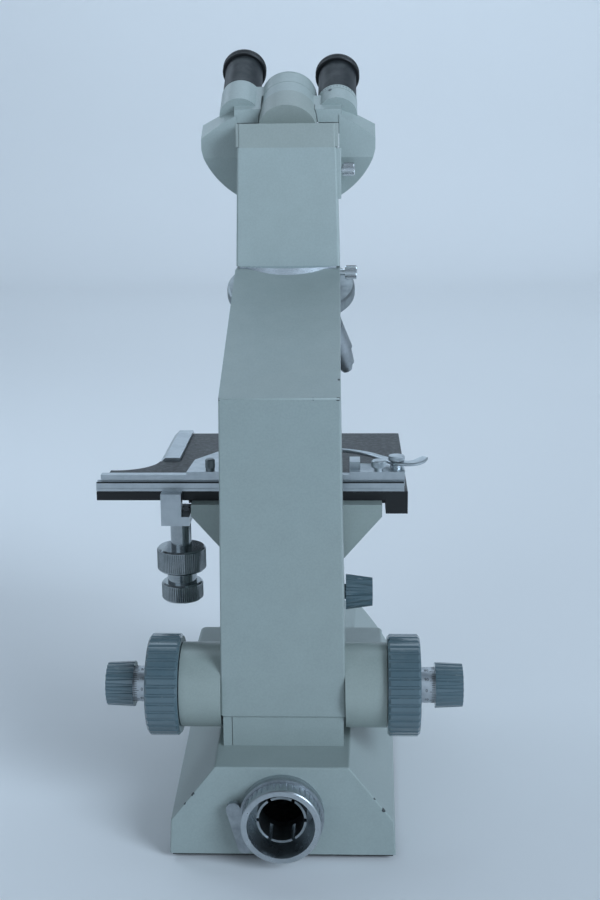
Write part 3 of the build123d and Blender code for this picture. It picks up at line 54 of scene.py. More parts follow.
# camera: fitted to the stand's edges in the photograph; angles in degrees, focal length in pixels
cameraSet = dict(
    spot=(-38.54, 920.22, 428.61), pitch=13.76, yaw=2.05, roll=-0.54,
    focal=1361.41, pixelsTall=900, sensor=36.0, clipStart=0.01,
)


def makeCamera(s):
    pitch, yaw, roll = radians(s["pitch"]), radians(s["yaw"]), radians(s["roll"])
    look = Vector((sin(yaw) * cos(pitch), -cos(yaw) * cos(pitch), -sin(pitch)))
    right = look.cross(Vector((0, 0, 1))).normalized()
    above = right.cross(look)
    camRight = cos(roll) * right + sin(roll) * above
    camUp = -sin(roll) * right + cos(roll) * above
    lens = bpy.data.cameras.new("camera")
    lens.sensor_fit = "VERTICAL"
    lens.sensor_height = s["sensor"]
    lens.lens = s["focal"] * s["sensor"] / s["pixelsTall"]
    lens.clip_start = s["clipStart"]
    cam = bpy.data.objects.new("camera", lens)
    turn = Matrix((camRight, camUp, -look)).transposed().to_4x4()
    cam.matrix_world = Matrix.Translation(Vector(s["spot"]) * mm) @ turn
    scene.collection.objects.link(cam)
    scene.camera = cam


makeCamera(cameraSet)

# studio, in metres: pale floor with a curved sweep behind, four soft lamps and a faint sky
studioSet = dict(
    floorHalf=4.0, sweepY=-2.6, sweepRadius=0.4, sweepSteps=12, wallTop=3.2,
    lamps={                               # spot, size, watts, aim
        "key": ((-2.7, 2.6, 1.9), 2.0, 112, (0, 0.1, 0.2)),
        "fill": ((2.0, 3.4, 1.6), 3.0, 20, (0, 0.1, 0.2)),
        "front": ((0.8, -0.55, 1.0), 0.6, 3, (0, 0, 0.2)),
        "wall": ((0, -1.5, 2.5), 2.4, 26, (0, -2.8, 0.2)),
    },
    cool=(0.69, 0.84, 1.0),
    skyFade=(0.1, 0.9, 0.42, 0.1),        # from and to height, strength at each
)


def makeFloor(s):
    path = [(s["floorHalf"], 0.0)]
    for k in range(s["sweepSteps"] + 1):
        a = pi / 2 * k / s["sweepSteps"]
        path.append((s["sweepY"] - s["sweepRadius"] * sin(a), s["sweepRadius"] * (1 - cos(a))))
    path.append((path[-1][0], s["wallTop"]))
    bm = bmesh.new()
    rows = [[bm.verts.new((x * s["floorHalf"], y, z)) for x in (1, -1)] for y, z in path]
    for lower, upper in zip(rows, rows[1:]):
        bm.faces.new((lower[0], lower[1], upper[1], upper[0]))
    mesh = bpy.data.meshes.new("floor")
    bm.to_mesh(mesh)
    bm.free()
    mesh.shade_smooth()
    floor = bpy.data.objects.new("floor", mesh)
    scene.collection.objects.link(floor)
    return floor


def makeLamps(s):
    for name, (spot, size, watts, aim) in s["lamps"].items():
        lamp = bpy.data.lights.new(name, "AREA")
        lamp.shape = "DISK"
        lamp.size = size
        lamp.energy = watts
        lamp.color = s["cool"]
        obj = bpy.data.objects.new(name, lamp)
        obj.location = spot
        obj.visible_camera = False
        obj.rotation_euler = (Vector(aim) - Vector(spot)).to_track_quat("-Z", "Y").to_euler()
        scene.collection.objects.link(obj)


def makeSky(s):                           # brighter near the horizon than overhead
    world = bpy.data.worlds.new("sky")
    world.use_nodes = True
    sky = world.node_tree
    back = sky.nodes["Background"]
    back.inputs["Color"].default_value = (*s["cool"], 1.0)
    where = sky.nodes.new("ShaderNodeTexCoord")
    split = sky.nodes.new("ShaderNodeSeparateXYZ")
    fade = sky.nodes.new("ShaderNodeMapRange")
    for slot, level in zip(fade.inputs[1:5], s["skyFade"]):
        slot.default_value = level
    sky.links.new(where.outputs["Generated"], split.inputs[0])
    sky.links.new(split.outputs["Z"], fade.inputs[0])
    sky.links.new(fade.outputs[0], back.inputs["Strength"])
    scene.world = world
    scene.view_settings.view_transform = "Standard"


floor = makeFloor(studioSet)
makeLamps(studioSet)
makeSky(studioSet)
print("stage 1: camera and studio")


# node helpers
noiseMiddle = 0.5                         # a noise texture's middle value


def addNode(tree, kind, props=None, values=None):
    node = tree.nodes.new(kind)
    for name, value in (props or {}).items():
        setattr(node, name, value)
    for name, value in (values or {}).items():
        node.inputs[name].default_value = value
    return node


def feed(tree, slot, value):              # a plain value goes on the socket, anything else is linked
    if isinstance(value, (int, float, tuple)):
        slot.default_value = value
    elif value is not None:
        tree.links.new(value, slot)


def maths(tree, op, a, b=None, clamp=False):
    node = addNode(tree, "ShaderNodeMath", {"operation": op, "use_clamp": clamp})
    feed(tree, node.inputs[0], a)
    feed(tree, node.inputs[1], b)
    return node.outputs[0]


def ramp(tree, value, low, high, outLow=0.0, outHigh=1.0):
    node = addNode(tree, "ShaderNodeMapRange", {"interpolation_type": "SMOOTHSTEP"})
    for slot, level in zip(node.inputs[:5], (value, low, high, outLow, outHigh)):
        feed(tree, slot, level)
    return node.outputs[0]


def restPlace(tree):                      # where a point is on the part at rest, in metres
    return addNode(tree, "ShaderNodeTexCoord").outputs["Object"]


def noise(tree, scale, detail, rough=0.55):
    node = addNode(tree, "ShaderNodeTexNoise", values={"Detail": detail, "Roughness": rough})
    feed(tree, node.inputs["Scale"], scale)
    tree.links.new(restPlace(tree), node.inputs["Vector"])
    return node.outputs[0]


def dotProduct(tree, a, b):
    node = addNode(tree, "ShaderNodeVectorMath", {"operation": "DOT_PRODUCT"})
    tree.links.new(a, node.inputs[0])
    tree.links.new(b, node.inputs[1])
    return node.outputs["Value"]


def mixColour(tree, factor, a, b, blend="MIX"):
    node = addNode(tree, "ShaderNodeMix", {"data_type": "RGBA", "blend_type": blend})
    for number, value in ((0, factor), (6, a), (7, b)):     # the colour sockets of a Mix node
        feed(tree, node.inputs[number], value)
    return node.outputs[2]


def newGroup(name, inputs, outputs):
    tree = bpy.data.node_groups.new(name, "ShaderNodeTree")
    for way, sockets in (("INPUT", inputs), ("OUTPUT", outputs)):
        for label, kind in sockets.items():
            tree.interface.new_socket(name=label, in_out=way, socket_type="NodeSocket" + kind)
    return tree, addNode(tree, "NodeGroupInput").outputs, addNode(tree, "NodeGroupOutput").inputs


# shared effects: a noise is scale, detail and roughness, a fade is from, to and the values at each
filmSet = dict(
    broad=(9.0, 2.0), broadFade=(0.35, 0.7),
    patch=(60.0, 4.0), patchFade=(0.25, 0.75, 0.97, 1.02),
    peelDetail=2.0, peelFade=(0.3, 0.7, 0.965, 1.03), wobble=0.12,
)


def makePaintFilm(s):                     # slow colour drift, fine orange peel
    tree, given, out = newGroup(
        "paintFilm",
        {"Paint": "Color", "Aged": "Color", "Drift": "Float", "Rough": "Float", "Peel Scale": "Float"},
        {"Color": "Color", "Roughness": "Float", "Height": "Float"},
    )
    broad = noise(tree, *s["broad"])
    patch = noise(tree, *s["patch"])
    peel = noise(tree, given["Peel Scale"], s["peelDetail"])
    drift = maths(tree, "MULTIPLY", ramp(tree, broad, *s["broadFade"]), given["Drift"])
    aged = mixColour(tree, drift, given["Paint"], given["Aged"])
    shade = ramp(tree, patch, *s["patchFade"])
    speck = ramp(tree, peel, *s["peelFade"])
    tone = maths(tree, "MULTIPLY", shade, speck)
    grey = addNode(tree, "ShaderNodeCombineColor")
    for slot in grey.inputs[:3]:
        tree.links.new(tone, slot)
    tree.links.new(mixColour(tree, 1.0, aged, grey.outputs[0], "MULTIPLY"), out["Color"])
    wobble = maths(tree, "MULTIPLY", maths(tree, "SUBTRACT", patch, noiseMiddle), s["wobble"])
    tree.links.new(maths(tree, "ADD", given["Rough"], wobble, True), out["Roughness"])
    tree.links.new(peel, out["Height"])
    return tree


wearSet = dict(
    bevelSamples=4, edgeFade=(0.02, 0.2), breakNoise=(5.0, 0.65), breakFade=(0.52, 0.66),
    far=(26.0, 2.0), farFade=(0.42, 0.62),
)


def makeEdgeWear(s):                      # rubbed corners, broken up by noise
    tree, given, out = newGroup(
        "edgeWear", {"Radius": "Float", "Break Up": "Float", "Amount": "Float"}, {"Mask": "Float"},
    )
    bevel = addNode(tree, "ShaderNodeBevel", {"samples": s["bevelSamples"]})
    tree.links.new(given["Radius"], bevel.inputs["Radius"])
    normal = addNode(tree, "ShaderNodeNewGeometry").outputs["Normal"]
    flat = dotProduct(tree, bevel.outputs[0], normal)
    edge = ramp(tree, maths(tree, "SUBTRACT", 1.0, flat), *s["edgeFade"])
    broken = ramp(tree, noise(tree, given["Break Up"], *s["breakNoise"]), *s["breakFade"])
    far = ramp(tree, noise(tree, *s["far"]), *s["farFade"])
    mask = maths(tree, "MULTIPLY", maths(tree, "MULTIPLY", edge, broken), far)
    tree.links.new(maths(tree, "MULTIPLY", mask, given["Amount"], True), out["Mask"])
    return tree


dustSheenSet = dict(upFade=(0.35, 0.95), cloud=(5.0, 0.6), cloudFade=(0.35, 0.75))


def makeDustAndSheen(s):                      # thin dust on what faces up; on the stage, heavy, it is also a painted sheen that lightens the top
    tree, given, out = newGroup("dustAndSheen", {"Amount": "Float", "Scale": "Float"}, {"Mask": "Float"})
    geo = addNode(tree, "ShaderNodeNewGeometry")
    split = addNode(tree, "ShaderNodeSeparateXYZ")
    tree.links.new(geo.outputs["Normal"], split.inputs[0])
    up = ramp(tree, split.outputs["Z"], *s["upFade"])
    cloud = ramp(tree, noise(tree, given["Scale"], *s["cloud"]), *s["cloudFade"])
    mask = maths(tree, "MULTIPLY", maths(tree, "MULTIPLY", up, cloud), given["Amount"], True)
    tree.links.new(mask, out["Mask"])
    return tree


linesSet = dict(scale=1.0, detail=3.0)


def makeTurnedLines(s):                   # lathe lines across an axis
    tree, given, out = newGroup("turnedLines", {"Axis": "Vector", "Lines": "Float"}, {"Value": "Float"})
    along = dotProduct(tree, restPlace(tree), given["Axis"])
    step = maths(tree, "MULTIPLY", along, given["Lines"])
    line = addNode(
        tree, "ShaderNodeTexNoise", {"noise_dimensions": "1D"},
        {"Scale": s["scale"], "Detail": s["detail"]},
    )
    tree.links.new(step, line.inputs["W"])
    tree.links.new(line.outputs[0], out["Value"])
    return tree


handsSet = dict(smear=(6.0, 0.7), smearFade=(0.3, 0.75))


def makeHandling(s):                      # smears and finger marks
    tree, given, out = newGroup("handling", {"Scale": "Float"}, {"Value": "Float"})
    smear = noise(tree, given["Scale"], *s["smear"])
    tree.links.new(ramp(tree, smear, *s["smearFade"]), out["Value"])
    return tree


shared = dict(
    film=makePaintFilm(filmSet), wear=makeEdgeWear(wearSet), dustSheen=makeDustAndSheen(dustSheenSet),
    lines=makeTurnedLines(linesSet), hands=makeHandling(handsSet),
)


def place(tree, key, values):             # puts a shared effect in a material, with the material's values
    node = addNode(tree, "ShaderNodeGroup", {"node_tree": shared[key]})
    for name, value in values.items():
        node.inputs[name].default_value = value
    return node.outputs


def newMaterial(name, shader):
    mat = bpy.data.materials.new(name)
    mat.use_nodes = True
    principled = mat.node_tree.nodes["Principled BSDF"]
    for socket, value in shader.items():
        principled.inputs[socket].default_value = value
    return mat, mat.node_tree, principled.inputs


def bumpInto(tree, into, height, strength, distance):
    bump = addNode(tree, "ShaderNodeBump", values={"Strength": strength, "Distance": distance})
    tree.links.new(height, bump.inputs["Height"])
    tree.links.new(bump.outputs[0], into["Normal"])


# painted and moulded finishes; each row below changes some of these values
paintBase = dict(
    paint=srgb(150, 162, 160), aged=srgb(152, 160, 154), drift=0.22,
    rough=0.42, coat=0.12, coatRough=0.25, shine=0.45,
    peel=900.0, peelDepth=0.05, peelReach=0.0004,
    wear=0.8, wearWidth=0.0011, breakUp=230.0, bare=srgb(104, 112, 112), bareMetal=0.0,
    dustSheen=0.12, dustSheenScale=90.0, dustSheenColour=srgb(184, 190, 186), dustRough=0.3,
    chips=[], chipColour=srgb(52, 58, 60), chipNoise=(420.0, 4.0, 0.7),
)
chipSpots = [                             # small knocks on the casting: where, and how large
    ((53.0, 193.8, 42.6), 1.5), ((57.5, 193.8, 36.5), 0.9), ((-59.9, 193.8, 33.4), 1.5),
    ((-54.6, 193.8, 40.6), 0.9), ((34.2, 166.8, 273.7), 1.0), ((-33.2, 166.9, 273.8), 1.3),
    ((-19.0, 166.9, 273.8), 0.9), ((-33.8, 150.0, 281.0), 1.0), ((37.0, 167.0, 79.0), 1.1),
]
paintSet = {
    "bodyPaint": dict(chips=chipSpots),
    "bossPaint": dict(paint=srgb(152, 163, 159), aged=srgb(155, 161, 152), rough=0.34),
    "tubePaint": dict(paint=srgb(167, 179, 177), aged=srgb(168, 177, 172), wear=0.6),
    "headPaint": dict(paint=srgb(161, 170, 166), aged=srgb(158, 166, 158), rough=0.5),
    "knobSlate": dict(
        paint=srgb(84, 105, 113), aged=srgb(76, 96, 104), rough=0.24, coat=0.9, coatRough=0.1,
        peel=1500.0, peelDepth=0.03, wear=0.5, wearWidth=0.0008, bare=srgb(128, 146, 152)),
    # black stage: heavy up-facing mix, partly dust and partly a painted sheen on its top
    "stageBlack": dict(
        paint=srgb(20, 22, 24), aged=srgb(28, 30, 32), rough=0.5, coat=0.05,
        peel=1600.0, peelDepth=0.08, wear=1.0, wearWidth=0.0008, bare=srgb(150, 156, 160),
        bareMetal=0.9, dustSheen=0.55, dustSheenScale=300.0, dustSheenColour=srgb(122, 126, 128)),
    "eyeBlack": dict(
        paint=srgb(22, 24, 26), aged=srgb(28, 30, 32), rough=0.46, coat=0.0,
        peel=1400.0, wear=0.5, bare=srgb(96, 102, 106), dustSheen=0.1),
    "eyeGrey": dict(
        paint=srgb(32, 37, 41), aged=srgb(28, 32, 36), rough=0.46, coat=0.0, shine=0.25,
        wear=0.5, bare=srgb(140, 146, 150), dustSheen=0.1),
    "footRubber": dict(
        paint=srgb(34, 35, 36), aged=srgb(44, 44, 44), rough=0.8, coat=0.0,
        peelDepth=0.2, wear=0.0, dustSheen=0.3),
    # dark ink for printed marks, also used as the painted shadow in the rail's slot
    "inkAndShade": dict(
        paint=srgb(30, 33, 36), aged=srgb(40, 42, 44), rough=0.6, coat=0.0, wear=0.0, dustSheen=0.0),
}


def chipMask(tree, s):                    # the knocks' outlines are ragged by noise
    where = restPlace(tree)
    ragged = noise(tree, *s["chipNoise"])
    total = None
    for spot, size in s["chips"]:
        away = addNode(tree, "ShaderNodeVectorMath", {"operation": "DISTANCE"})
        tree.links.new(where, away.inputs[0])
        away.inputs[1].default_value = [v * mm for v in spot]
        reach = maths(tree, "MULTIPLY", ragged, 2 * size * mm)
        near = maths(tree, "LESS_THAN", away.outputs["Value"], reach)
        total = near if total is None else maths(tree, "MAXIMUM", total, near)
    return total


def paintedFinish(name, s):
    mat, tree, into = newMaterial(name, {
        "Coat Weight": s["coat"], "Coat Roughness": s["coatRough"], "Specular IOR Level": s["shine"],
    })
    film = place(tree, "film", {
        "Paint": s["paint"], "Aged": s["aged"], "Drift": s["drift"],
        "Rough": s["rough"], "Peel Scale": s["peel"],
    })
    wear = place(tree, "wear", {
        "Radius": s["wearWidth"], "Break Up": s["breakUp"], "Amount": s["wear"],
    })["Mask"]
    # up-facing mix: dust, and on the stage also a painted sheen
    dustSheen = place(tree, "dustSheen", {"Amount": s["dustSheen"], "Scale": s["dustSheenScale"]})["Mask"]
    worn = mixColour(tree, wear, film["Color"], s["bare"])
    if s["chips"]:
        worn = mixColour(tree, chipMask(tree, s), worn, s["chipColour"])
    tree.links.new(mixColour(tree, dustSheen, worn, s["dustSheenColour"]), into["Base Color"])
    dull = maths(tree, "MULTIPLY", dustSheen, s["dustRough"])
    tree.links.new(maths(tree, "ADD", film["Roughness"], dull, True), into["Roughness"])
    if s["bareMetal"]:
        tree.links.new(maths(tree, "MULTIPLY", wear, s["bareMetal"]), into["Metallic"])
    bumpInto(tree, into, film["Height"], s["peelDepth"], s["peelReach"])
    return mat


# turned and polished metals; each row below changes some of these values
turretAxis = (0, sin(radians(20)), cos(radians(20)))
metalBase = dict(
    metal=srgb(194, 201, 205), dull=srgb(180, 188, 193), bright=srgb(228, 233, 236), rough=0.30,
    axis=(0, 0, 1), lines=5000.0, lineRough=0.16, lineDepth=0.06, lineReach=0.0002,
    smear=90.0, smearRough=0.14, wear=0.4, wearWidth=0.0006, breakUp=500.0,
)
metalSet = {
    "brightX": dict(axis=(1, 0, 0)),
    "brightZ": dict(),
    "chromeX": dict(
        metal=srgb(238, 242, 244), dull=srgb(224, 230, 234), axis=(1, 0, 0),
        rough=0.2, smearRough=0.1, lineRough=0.05),
    "chromeZ": dict(
        metal=srgb(218, 225, 230), dull=srgb(198, 206, 212), rough=0.16, lineRough=0.06),
    "steelZ": dict(metal=srgb(132, 138, 140), dull=srgb(106, 113, 115), rough=0.28, wear=0.6),
    "polishZ": dict(
        metal=srgb(168, 174, 177), dull=srgb(146, 153, 156),
        rough=0.10, smearRough=0.10, lineRough=0.04, wear=0.3),
    "lampMetal": dict(
        metal=srgb(192, 198, 202), dull=srgb(170, 177, 181), axis=(0, 1, 0),
        rough=0.26, smearRough=0.12, wear=1.0),
    "steelTurret": dict(
        metal=srgb(158, 165, 168), dull=srgb(136, 143, 146), axis=turretAxis, rough=0.38, wear=0.6),
    "satinZ": dict(metal=srgb(176, 182, 186), dull=srgb(146, 153, 158), rough=0.42, wear=0.6),
    "satinX": dict(
        metal=srgb(208, 213, 217), dull=srgb(182, 188, 194), axis=(1, 0, 0), rough=0.42, wear=0.3),
    "steelX": dict(metal=srgb(150, 158, 162), dull=srgb(124, 132, 136), axis=(1, 0, 0)),
    "socketDark": dict(
        metal=srgb(168, 175, 178), dull=srgb(128, 135, 138), axis=(0, 1, 0), wear=1.0, lines=2500.0),
    "mirrorFace": dict(
        metal=srgb(232, 234, 236), dull=srgb(224, 227, 230),
        rough=0.02, smearRough=0.05, lineRough=0.0, lineDepth=0.0, wear=0.0),
}


def turnedFinish(name, s):
    mat, tree, into = newMaterial(name, {"Metallic": 1.0})
    lines = place(tree, "lines", {"Axis": s["axis"], "Lines": s["lines"]})["Value"]
    hands = place(tree, "hands", {"Scale": s["smear"]})["Value"]
    wear = place(tree, "wear", {
        "Radius": s["wearWidth"], "Break Up": s["breakUp"], "Amount": s["wear"],
    })["Mask"]
    tinted = mixColour(tree, hands, s["metal"], s["dull"])
    tree.links.new(mixColour(tree, wear, tinted, s["bright"]), into["Base Color"])
    sheen = maths(tree, "MULTIPLY", hands, s["smearRough"])
    cut = maths(tree, "MULTIPLY", maths(tree, "SUBTRACT", lines, noiseMiddle), s["lineRough"])
    level = maths(tree, "ADD", maths(tree, "ADD", sheen, cut), s["rough"], True)
    tree.links.new(level, into["Roughness"])
    bumpInto(tree, into, lines, s["lineDepth"], s["lineReach"])
    return mat


glassSet = dict(
    tint=srgb(214, 222, 232), edge=srgb(196, 204, 222), smear=160.0, haze=0.06,
    shader={
        "Transmission Weight": 0.85, "IOR": 1.52, "Metallic": 0.0,
        "Coat Weight": 1.0, "Coat Roughness": 0.02,
    },
)


def glassFinish(name, s):
    mat, tree, into = newMaterial(name, s["shader"])
    hands = place(tree, "hands", {"Scale": s["smear"]})["Value"]
    tree.links.new(mixColour(tree, hands, s["tint"], s["edge"]), into["Base Color"])
    tree.links.new(maths(tree, "MULTIPLY", hands, s["haze"]), into["Roughness"])
    return mat


floorSet = dict(
    paint=srgb(236, 237, 238), aged=srgb(233, 234, 235), cloud=(1.5, 2.0, 0.5),
    shader={"Roughness": 0.9, "Specular IOR Level": 0.1},
)


def floorFinish(name, s):
    mat, tree, into = newMaterial(name, s["shader"])
    cloud = noise(tree, *s["cloud"])
    tree.links.new(mixColour(tree, cloud, s["paint"], s["aged"]), into["Base Color"])
    return mat


finishes = {}
for finish, own in paintSet.items():
    finishes[finish] = paintedFinish(finish, paintBase | own)
for finish, own in metalSet.items():
    finishes[finish] = turnedFinish(finish, metalBase | own)
finishes["lensGlass"] = glassFinish("lensGlass", glassSet)
floor.data.materials.append(floorFinish("floorPale", floorSet))

wearing = {                               # which solids wear which finish
    "bodyPaint": "base_casting column_arm foot_cover gear_housing",
    "bossPaint": "drive_bosses stage_carrier condenser_slide",
    "tubePaint": "tube_block right_housing left_housing diopter_ring hinge_cap",
    "headPaint": "head_body",
    "knobSlate": "right_coarse_knob left_coarse_knob right_fine_knob left_fine_knob condenser_knob",
    "stageBlack": "base_plate mirror_mount stage_plate stage_guides condenser_body",
    "eyeGrey": "right_eyepiece left_eyepiece",
    "footRubber": "rubber_feet",
    "brightX": "side_strip cross_rail cross_slider drive_bracket",
    "lampMetal": "lamp_tube",
    "brightZ": "field_ring side_jaw finger_holder slide_finger nosepiece_mount holder_screws",
    "chromeX": "tube_clamp_screw head_clamp_screw",
    "satinX": "scale_sleeves",
    "chromeZ": "seat_plate",
    "satinZ": "objective_high objective_oil objective_low objective_medium lamp_lever",
    "steelZ": "jaw_knob iris_lever focus_slide",
    "polishZ": "y_knob x_knob",
    "steelX": "coarse_shaft fine_shaft",
    "steelTurret": "turret",
    "socketDark": "lamp_sleeve",
    "lensGlass": "field_lens condenser_lens right_eye_lens left_eye_lens",
    "mirrorFace": "lamp_mirror",
}
for finish, names in wearing.items():
    for name in names.split():
        nodes[name].data.materials.clear()
        nodes[name].data.materials.append(finishes[finish])
print("stage 2: finishes on", sum(len(n.split()) for n in wearing.values()), "solids")


# mesh helpers
def axisFrame(origin, axis, start=(0, 0, 1)):    # Z along the axis, X towards start
    z = Vector(axis).normalized()
    guide = Vector(start)
    if abs(guide.dot(z)) > 0.9:           # start lies nearly along the axis
        guide = Vector((0, 1, 0))
    x = (guide - z * guide.dot(z)).normalized()
    turn = Matrix((x, z.cross(x), z)).transposed().to_4x4()
    return Matrix.Translation(Vector(origin) * mm) @ turn


def addPiece(name, bm, finish, body, sharp=32):
    bmesh.ops.recalc_face_normals(bm, faces=bm.faces)
    mesh = bpy.data.meshes.new(name)
    bm.to_mesh(mesh)
    bm.free()
    mesh.shade_smooth()
    mesh.set_sharp_from_angle(angle=radians(sharp))
    mesh.materials.append(finishes[finish])
    obj = bpy.data.objects.new(name, mesh)
    scene.collection.objects.link(obj)
    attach(obj, body)
    return obj


def bridge(bm, here, there):              # a band of faces between two closed rings of points
    n = len(here)
    for k in range(n):
        bm.faces.new((here[k], there[k], there[(k + 1) % n], here[(k + 1) % n]))


def spin(bm, loops, steps, where):        # ring round an axis; sections of (radius, height) take turns
    rings = []
    for i in range(steps):
        a = tau * i / steps
        section = loops[i % len(loops)]
        points = [Vector((r * cos(a), r * sin(a), h)) * mm for r, h in section]
        rings.append([bm.verts.new(where @ p) for p in points])
    for here, there in zip(rings, rings[1:] + rings[:1]):
        bridge(bm, here, there)


def layKnurl(bm, where, steps, inner, outer, low, high, lead, depth):    # straight-knurled band
    rows = 2                              # rows of faces along a tooth
    loops = []
    for cut in (0, depth):
        face = [(outer - cut, low + lead + (high - low - 2 * lead) * k / rows) for k in range(rows + 1)]
        loops.append([(inner, low), (outer - lead, low), *face, (outer - lead, high), (inner, high)])
    spin(bm, loops, steps, where)


# knurled grips: bands that sit on the turned heads
gripSet = dict(
    lead=0.3, depth=0.34, sharp=20, headFrom=7.6, headTo=0.4,
    bands={
        "y_knob_grip": dict(
            origin=(70, 73, 0), axis=(0, 0, 1), inner=15.0, outer=15.95, low=142.2, high=155.2, steps=150,
            finish="steelZ", body="stage_y_drive", slot="knurled_steel"),
        "x_knob_grip": dict(
            origin=(70, 73, 0), axis=(0, 0, 1), inner=12.7, outer=13.6, low=122.1, high=131.9, steps=128,
            finish="steelZ", body="stage_x_drive", slot="knurled_steel"),
        "tube_clamp_grip": dict(
            origin=(0, 5, 327), axis=(-1, 0, 0), inner=3.9, outer=4.55, steps=88,
            finish="chromeX", body="tube_clamp", slot="chrome_metal"),
        "head_clamp_grip": dict(
            origin=(0, 14, 395), axis=(-1, 0, 0), inner=3.6, outer=4.25, steps=82,
            finish="chromeX", body="head_clamp", slot="chrome_metal"),
    },
)
gripNode = {"tube_clamp_grip": "tube_clamp_screw", "head_clamp_grip": "head_clamp_screw"}


def makeGrips(s):
    for name, band in s["bands"].items():
        if name in gripNode:              # screws on the -X side: the head is the outer 8 mm
            end = -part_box(gripNode[name])[0].x / mm
            low, high = end - s["headFrom"], end - s["headTo"]
        else:
            low, high = band["low"], band["high"]
        bm = bmesh.new()
        where = axisFrame(band["origin"], band["axis"])
        layKnurl(bm, where, band["steps"], band["inner"], band["outer"], low, high, s["lead"], s["depth"])
        addPiece(name, bm, band["finish"], band["body"], s["sharp"])


makeGrips(gripSet)
print("stage 3: knurled grips")

# marks on round parts, placed by angle round the axis and height along it
markSet = dict(proud=0.05, sunk=0.25, digitThick=0.06, digitCurve=3)


def layMark(bm, where, radius, angle, wide, low, high):
    half = wide / radius / 2
    corners = [(angle - half, low), (angle + half, low), (angle + half, high), (angle - half, high)]
    rings = []
    for r in (radius + markSet["proud"], radius - markSet["sunk"]):
        points = [Vector((cos(a), sin(a), 0)) * r * mm + Vector((0, 0, h * mm)) for a, h in corners]
        rings.append([bm.verts.new(where @ p) for p in points])
    bm.faces.new(rings[0])
    bm.faces.new(rings[1][::-1])
    bridge(bm, *rings)


def layDigits(bm, text, size, toSurface):     # flat lettering bent on to a surface by toSurface(x, y, lift)
    font = bpy.data.curves.new("digits", "FONT")
    font.body = text
    font.size = size
    font.align_x = "CENTER"
    font.align_y = "CENTER"
    font.resolution_u = markSet["digitCurve"]
    font.extrude = markSet["digitThick"]
    holder = bpy.data.objects.new("digits", font)
    flat = bpy.data.meshes.new_from_object(holder)
    for v in flat.vertices:
        v.co = toSurface(v.co.x, v.co.y, v.co.z)
    bm.from_mesh(flat)
    bpy.data.objects.remove(holder)
    bpy.data.curves.remove(font)
    bpy.data.meshes.remove(flat)


# fine focus scales: fifty ticks, and a number at every fifth, on both sleeves
scaleSet = dict(
    axisY=145.3, axisZ=91.1, radius=10.7, knobFace=91.4,
    ticks=50, tickWide=0.28, short=2.0, long=3.2,
    longEvery=5, perTick=2, digit=2.7, digitAt=86.2, digitTurn=4,
    sides={"scale_marks_right": 1, "scale_marks_left": -1},
)


def makeScales(s):
    for name, side in s["sides"].items():
        bm = bmesh.new()
        where = axisFrame((0, s["axisY"], s["axisZ"]), (side, 0, 0), (0, 1, 0))
        for k in range(s["ticks"]):
            low = s["knobFace"] - (s["short"] if k % s["longEvery"] else s["long"])
            layMark(bm, where, s["radius"], tau * k / s["ticks"], s["tickWide"], low, s["knobFace"])
        for k in range(0, s["ticks"], s["longEvery"]):
            turn = tau * k / s["ticks"] * side + radians(s["digitTurn"])

            def bend(x, y, lift, turn=turn):
                r = s["radius"] + lift
                a = turn + y / s["radius"]
                out = (side * s["digitAt"] - x, s["axisY"] + r * cos(a), s["axisZ"] + r * sin(a))
                return Vector(out) * mm
            layDigits(bm, str(k * s["perTick"]), s["digit"], bend)
        addPiece(name, bm, "inkAndShade", "fine_drive")


makeScales(scaleSet)

# eyepieces: black ribbed rims on the two inclined tubes; sideways place and outer end of each
tubeAxis = (0, -cos(radians(30)), sin(radians(30)))
eyeSet = dict(
    height=429.0, rims={"right": (32.0, 64.3), "left": (-32.0, 56.7)}, steps=96, sharp=40,
    radius=15.0, bore=13.0, long=6.4, lead=0.5,
    ribs=3, ribFrom=1.2, ribStep=1.1, rib=[(0.0, 0.0), (0.35, 0.25), (0.35, 0.45), (0.0, 0.7)],
    crown=[(15.0, -0.9), (14.5, 0.1), (13.4, 0.3), (12.7, 0.1), (12.6, -0.6), (13.0, -1.2)],
)


def makeEyeRims(s):
    for side, (x, end) in s["rims"].items():
        low, r, lead = end - s["long"], s["radius"], s["lead"]
        loop = [(s["bore"], low), (r - lead, low), (r, low + lead)]
        for k in range(s["ribs"]):
            h = low + s["ribFrom"] + k * s["ribStep"]
            loop += [(r - deep, h + up) for deep, up in s["rib"]]
        loop += [(wide, end + up) for wide, up in s["crown"]]
        bm = bmesh.new()
        spin(bm, [loop], s["steps"], axisFrame((x, 0, s["height"]), tubeAxis))
        addPiece(side + "_eye_rim", bm, "eyeBlack", side + "_ocular", s["sharp"])


makeEyeRims(eyeSet)

# dioptre ring: five ticks either side of a zero
dioptreSet = dict(
    origin=(-32.0, 0, 429.0), zero=(0, 0.5, 0.866), radius=13.3, low=14.6, high=16.4,
    reach=5, step=9, wide=0.3, shorter=0.7,
)


def makeDioptreMarks(s):
    bm = bmesh.new()
    where = axisFrame(s["origin"], tubeAxis, s["zero"])
    for k in range(-s["reach"], s["reach"] + 1):
        high = s["high"] - (s["shorter"] if k % s["reach"] else 0.0)
        layMark(bm, where, s["radius"], radians(k * s["step"]), s["wide"], s["low"], high)
    addPiece("dioptre_marks", bm, "inkAndShade", "dioptre")


makeDioptreMarks(dioptreSet)
print("stage 4: scales, rims and dioptre marks")

# slide finger: one bent strip over the finger solid's line, its thumb end curled up
fingerSet = dict(
    post=(-70.0, 73.0), under=212.0, thick=2.0, bevel=0.45, steps=8, sharp=30,
    line=[(52, -36, 0), (40, -33.5, 0), (28, -28.5, 0), (17, -20.5, 0), (8, -9, 0), (0, 0, 0),
          (-6, 2.4, -0.3), (-11, 2.4, 0.0), (-15, 0.6, 0.8), (-18.3, -3.0, 1.9)],
    width=[3.0, 3.8, 4.4, 4.8, 5.6, 9.6, 7.4, 8.2, 7.8, 5.0],
)


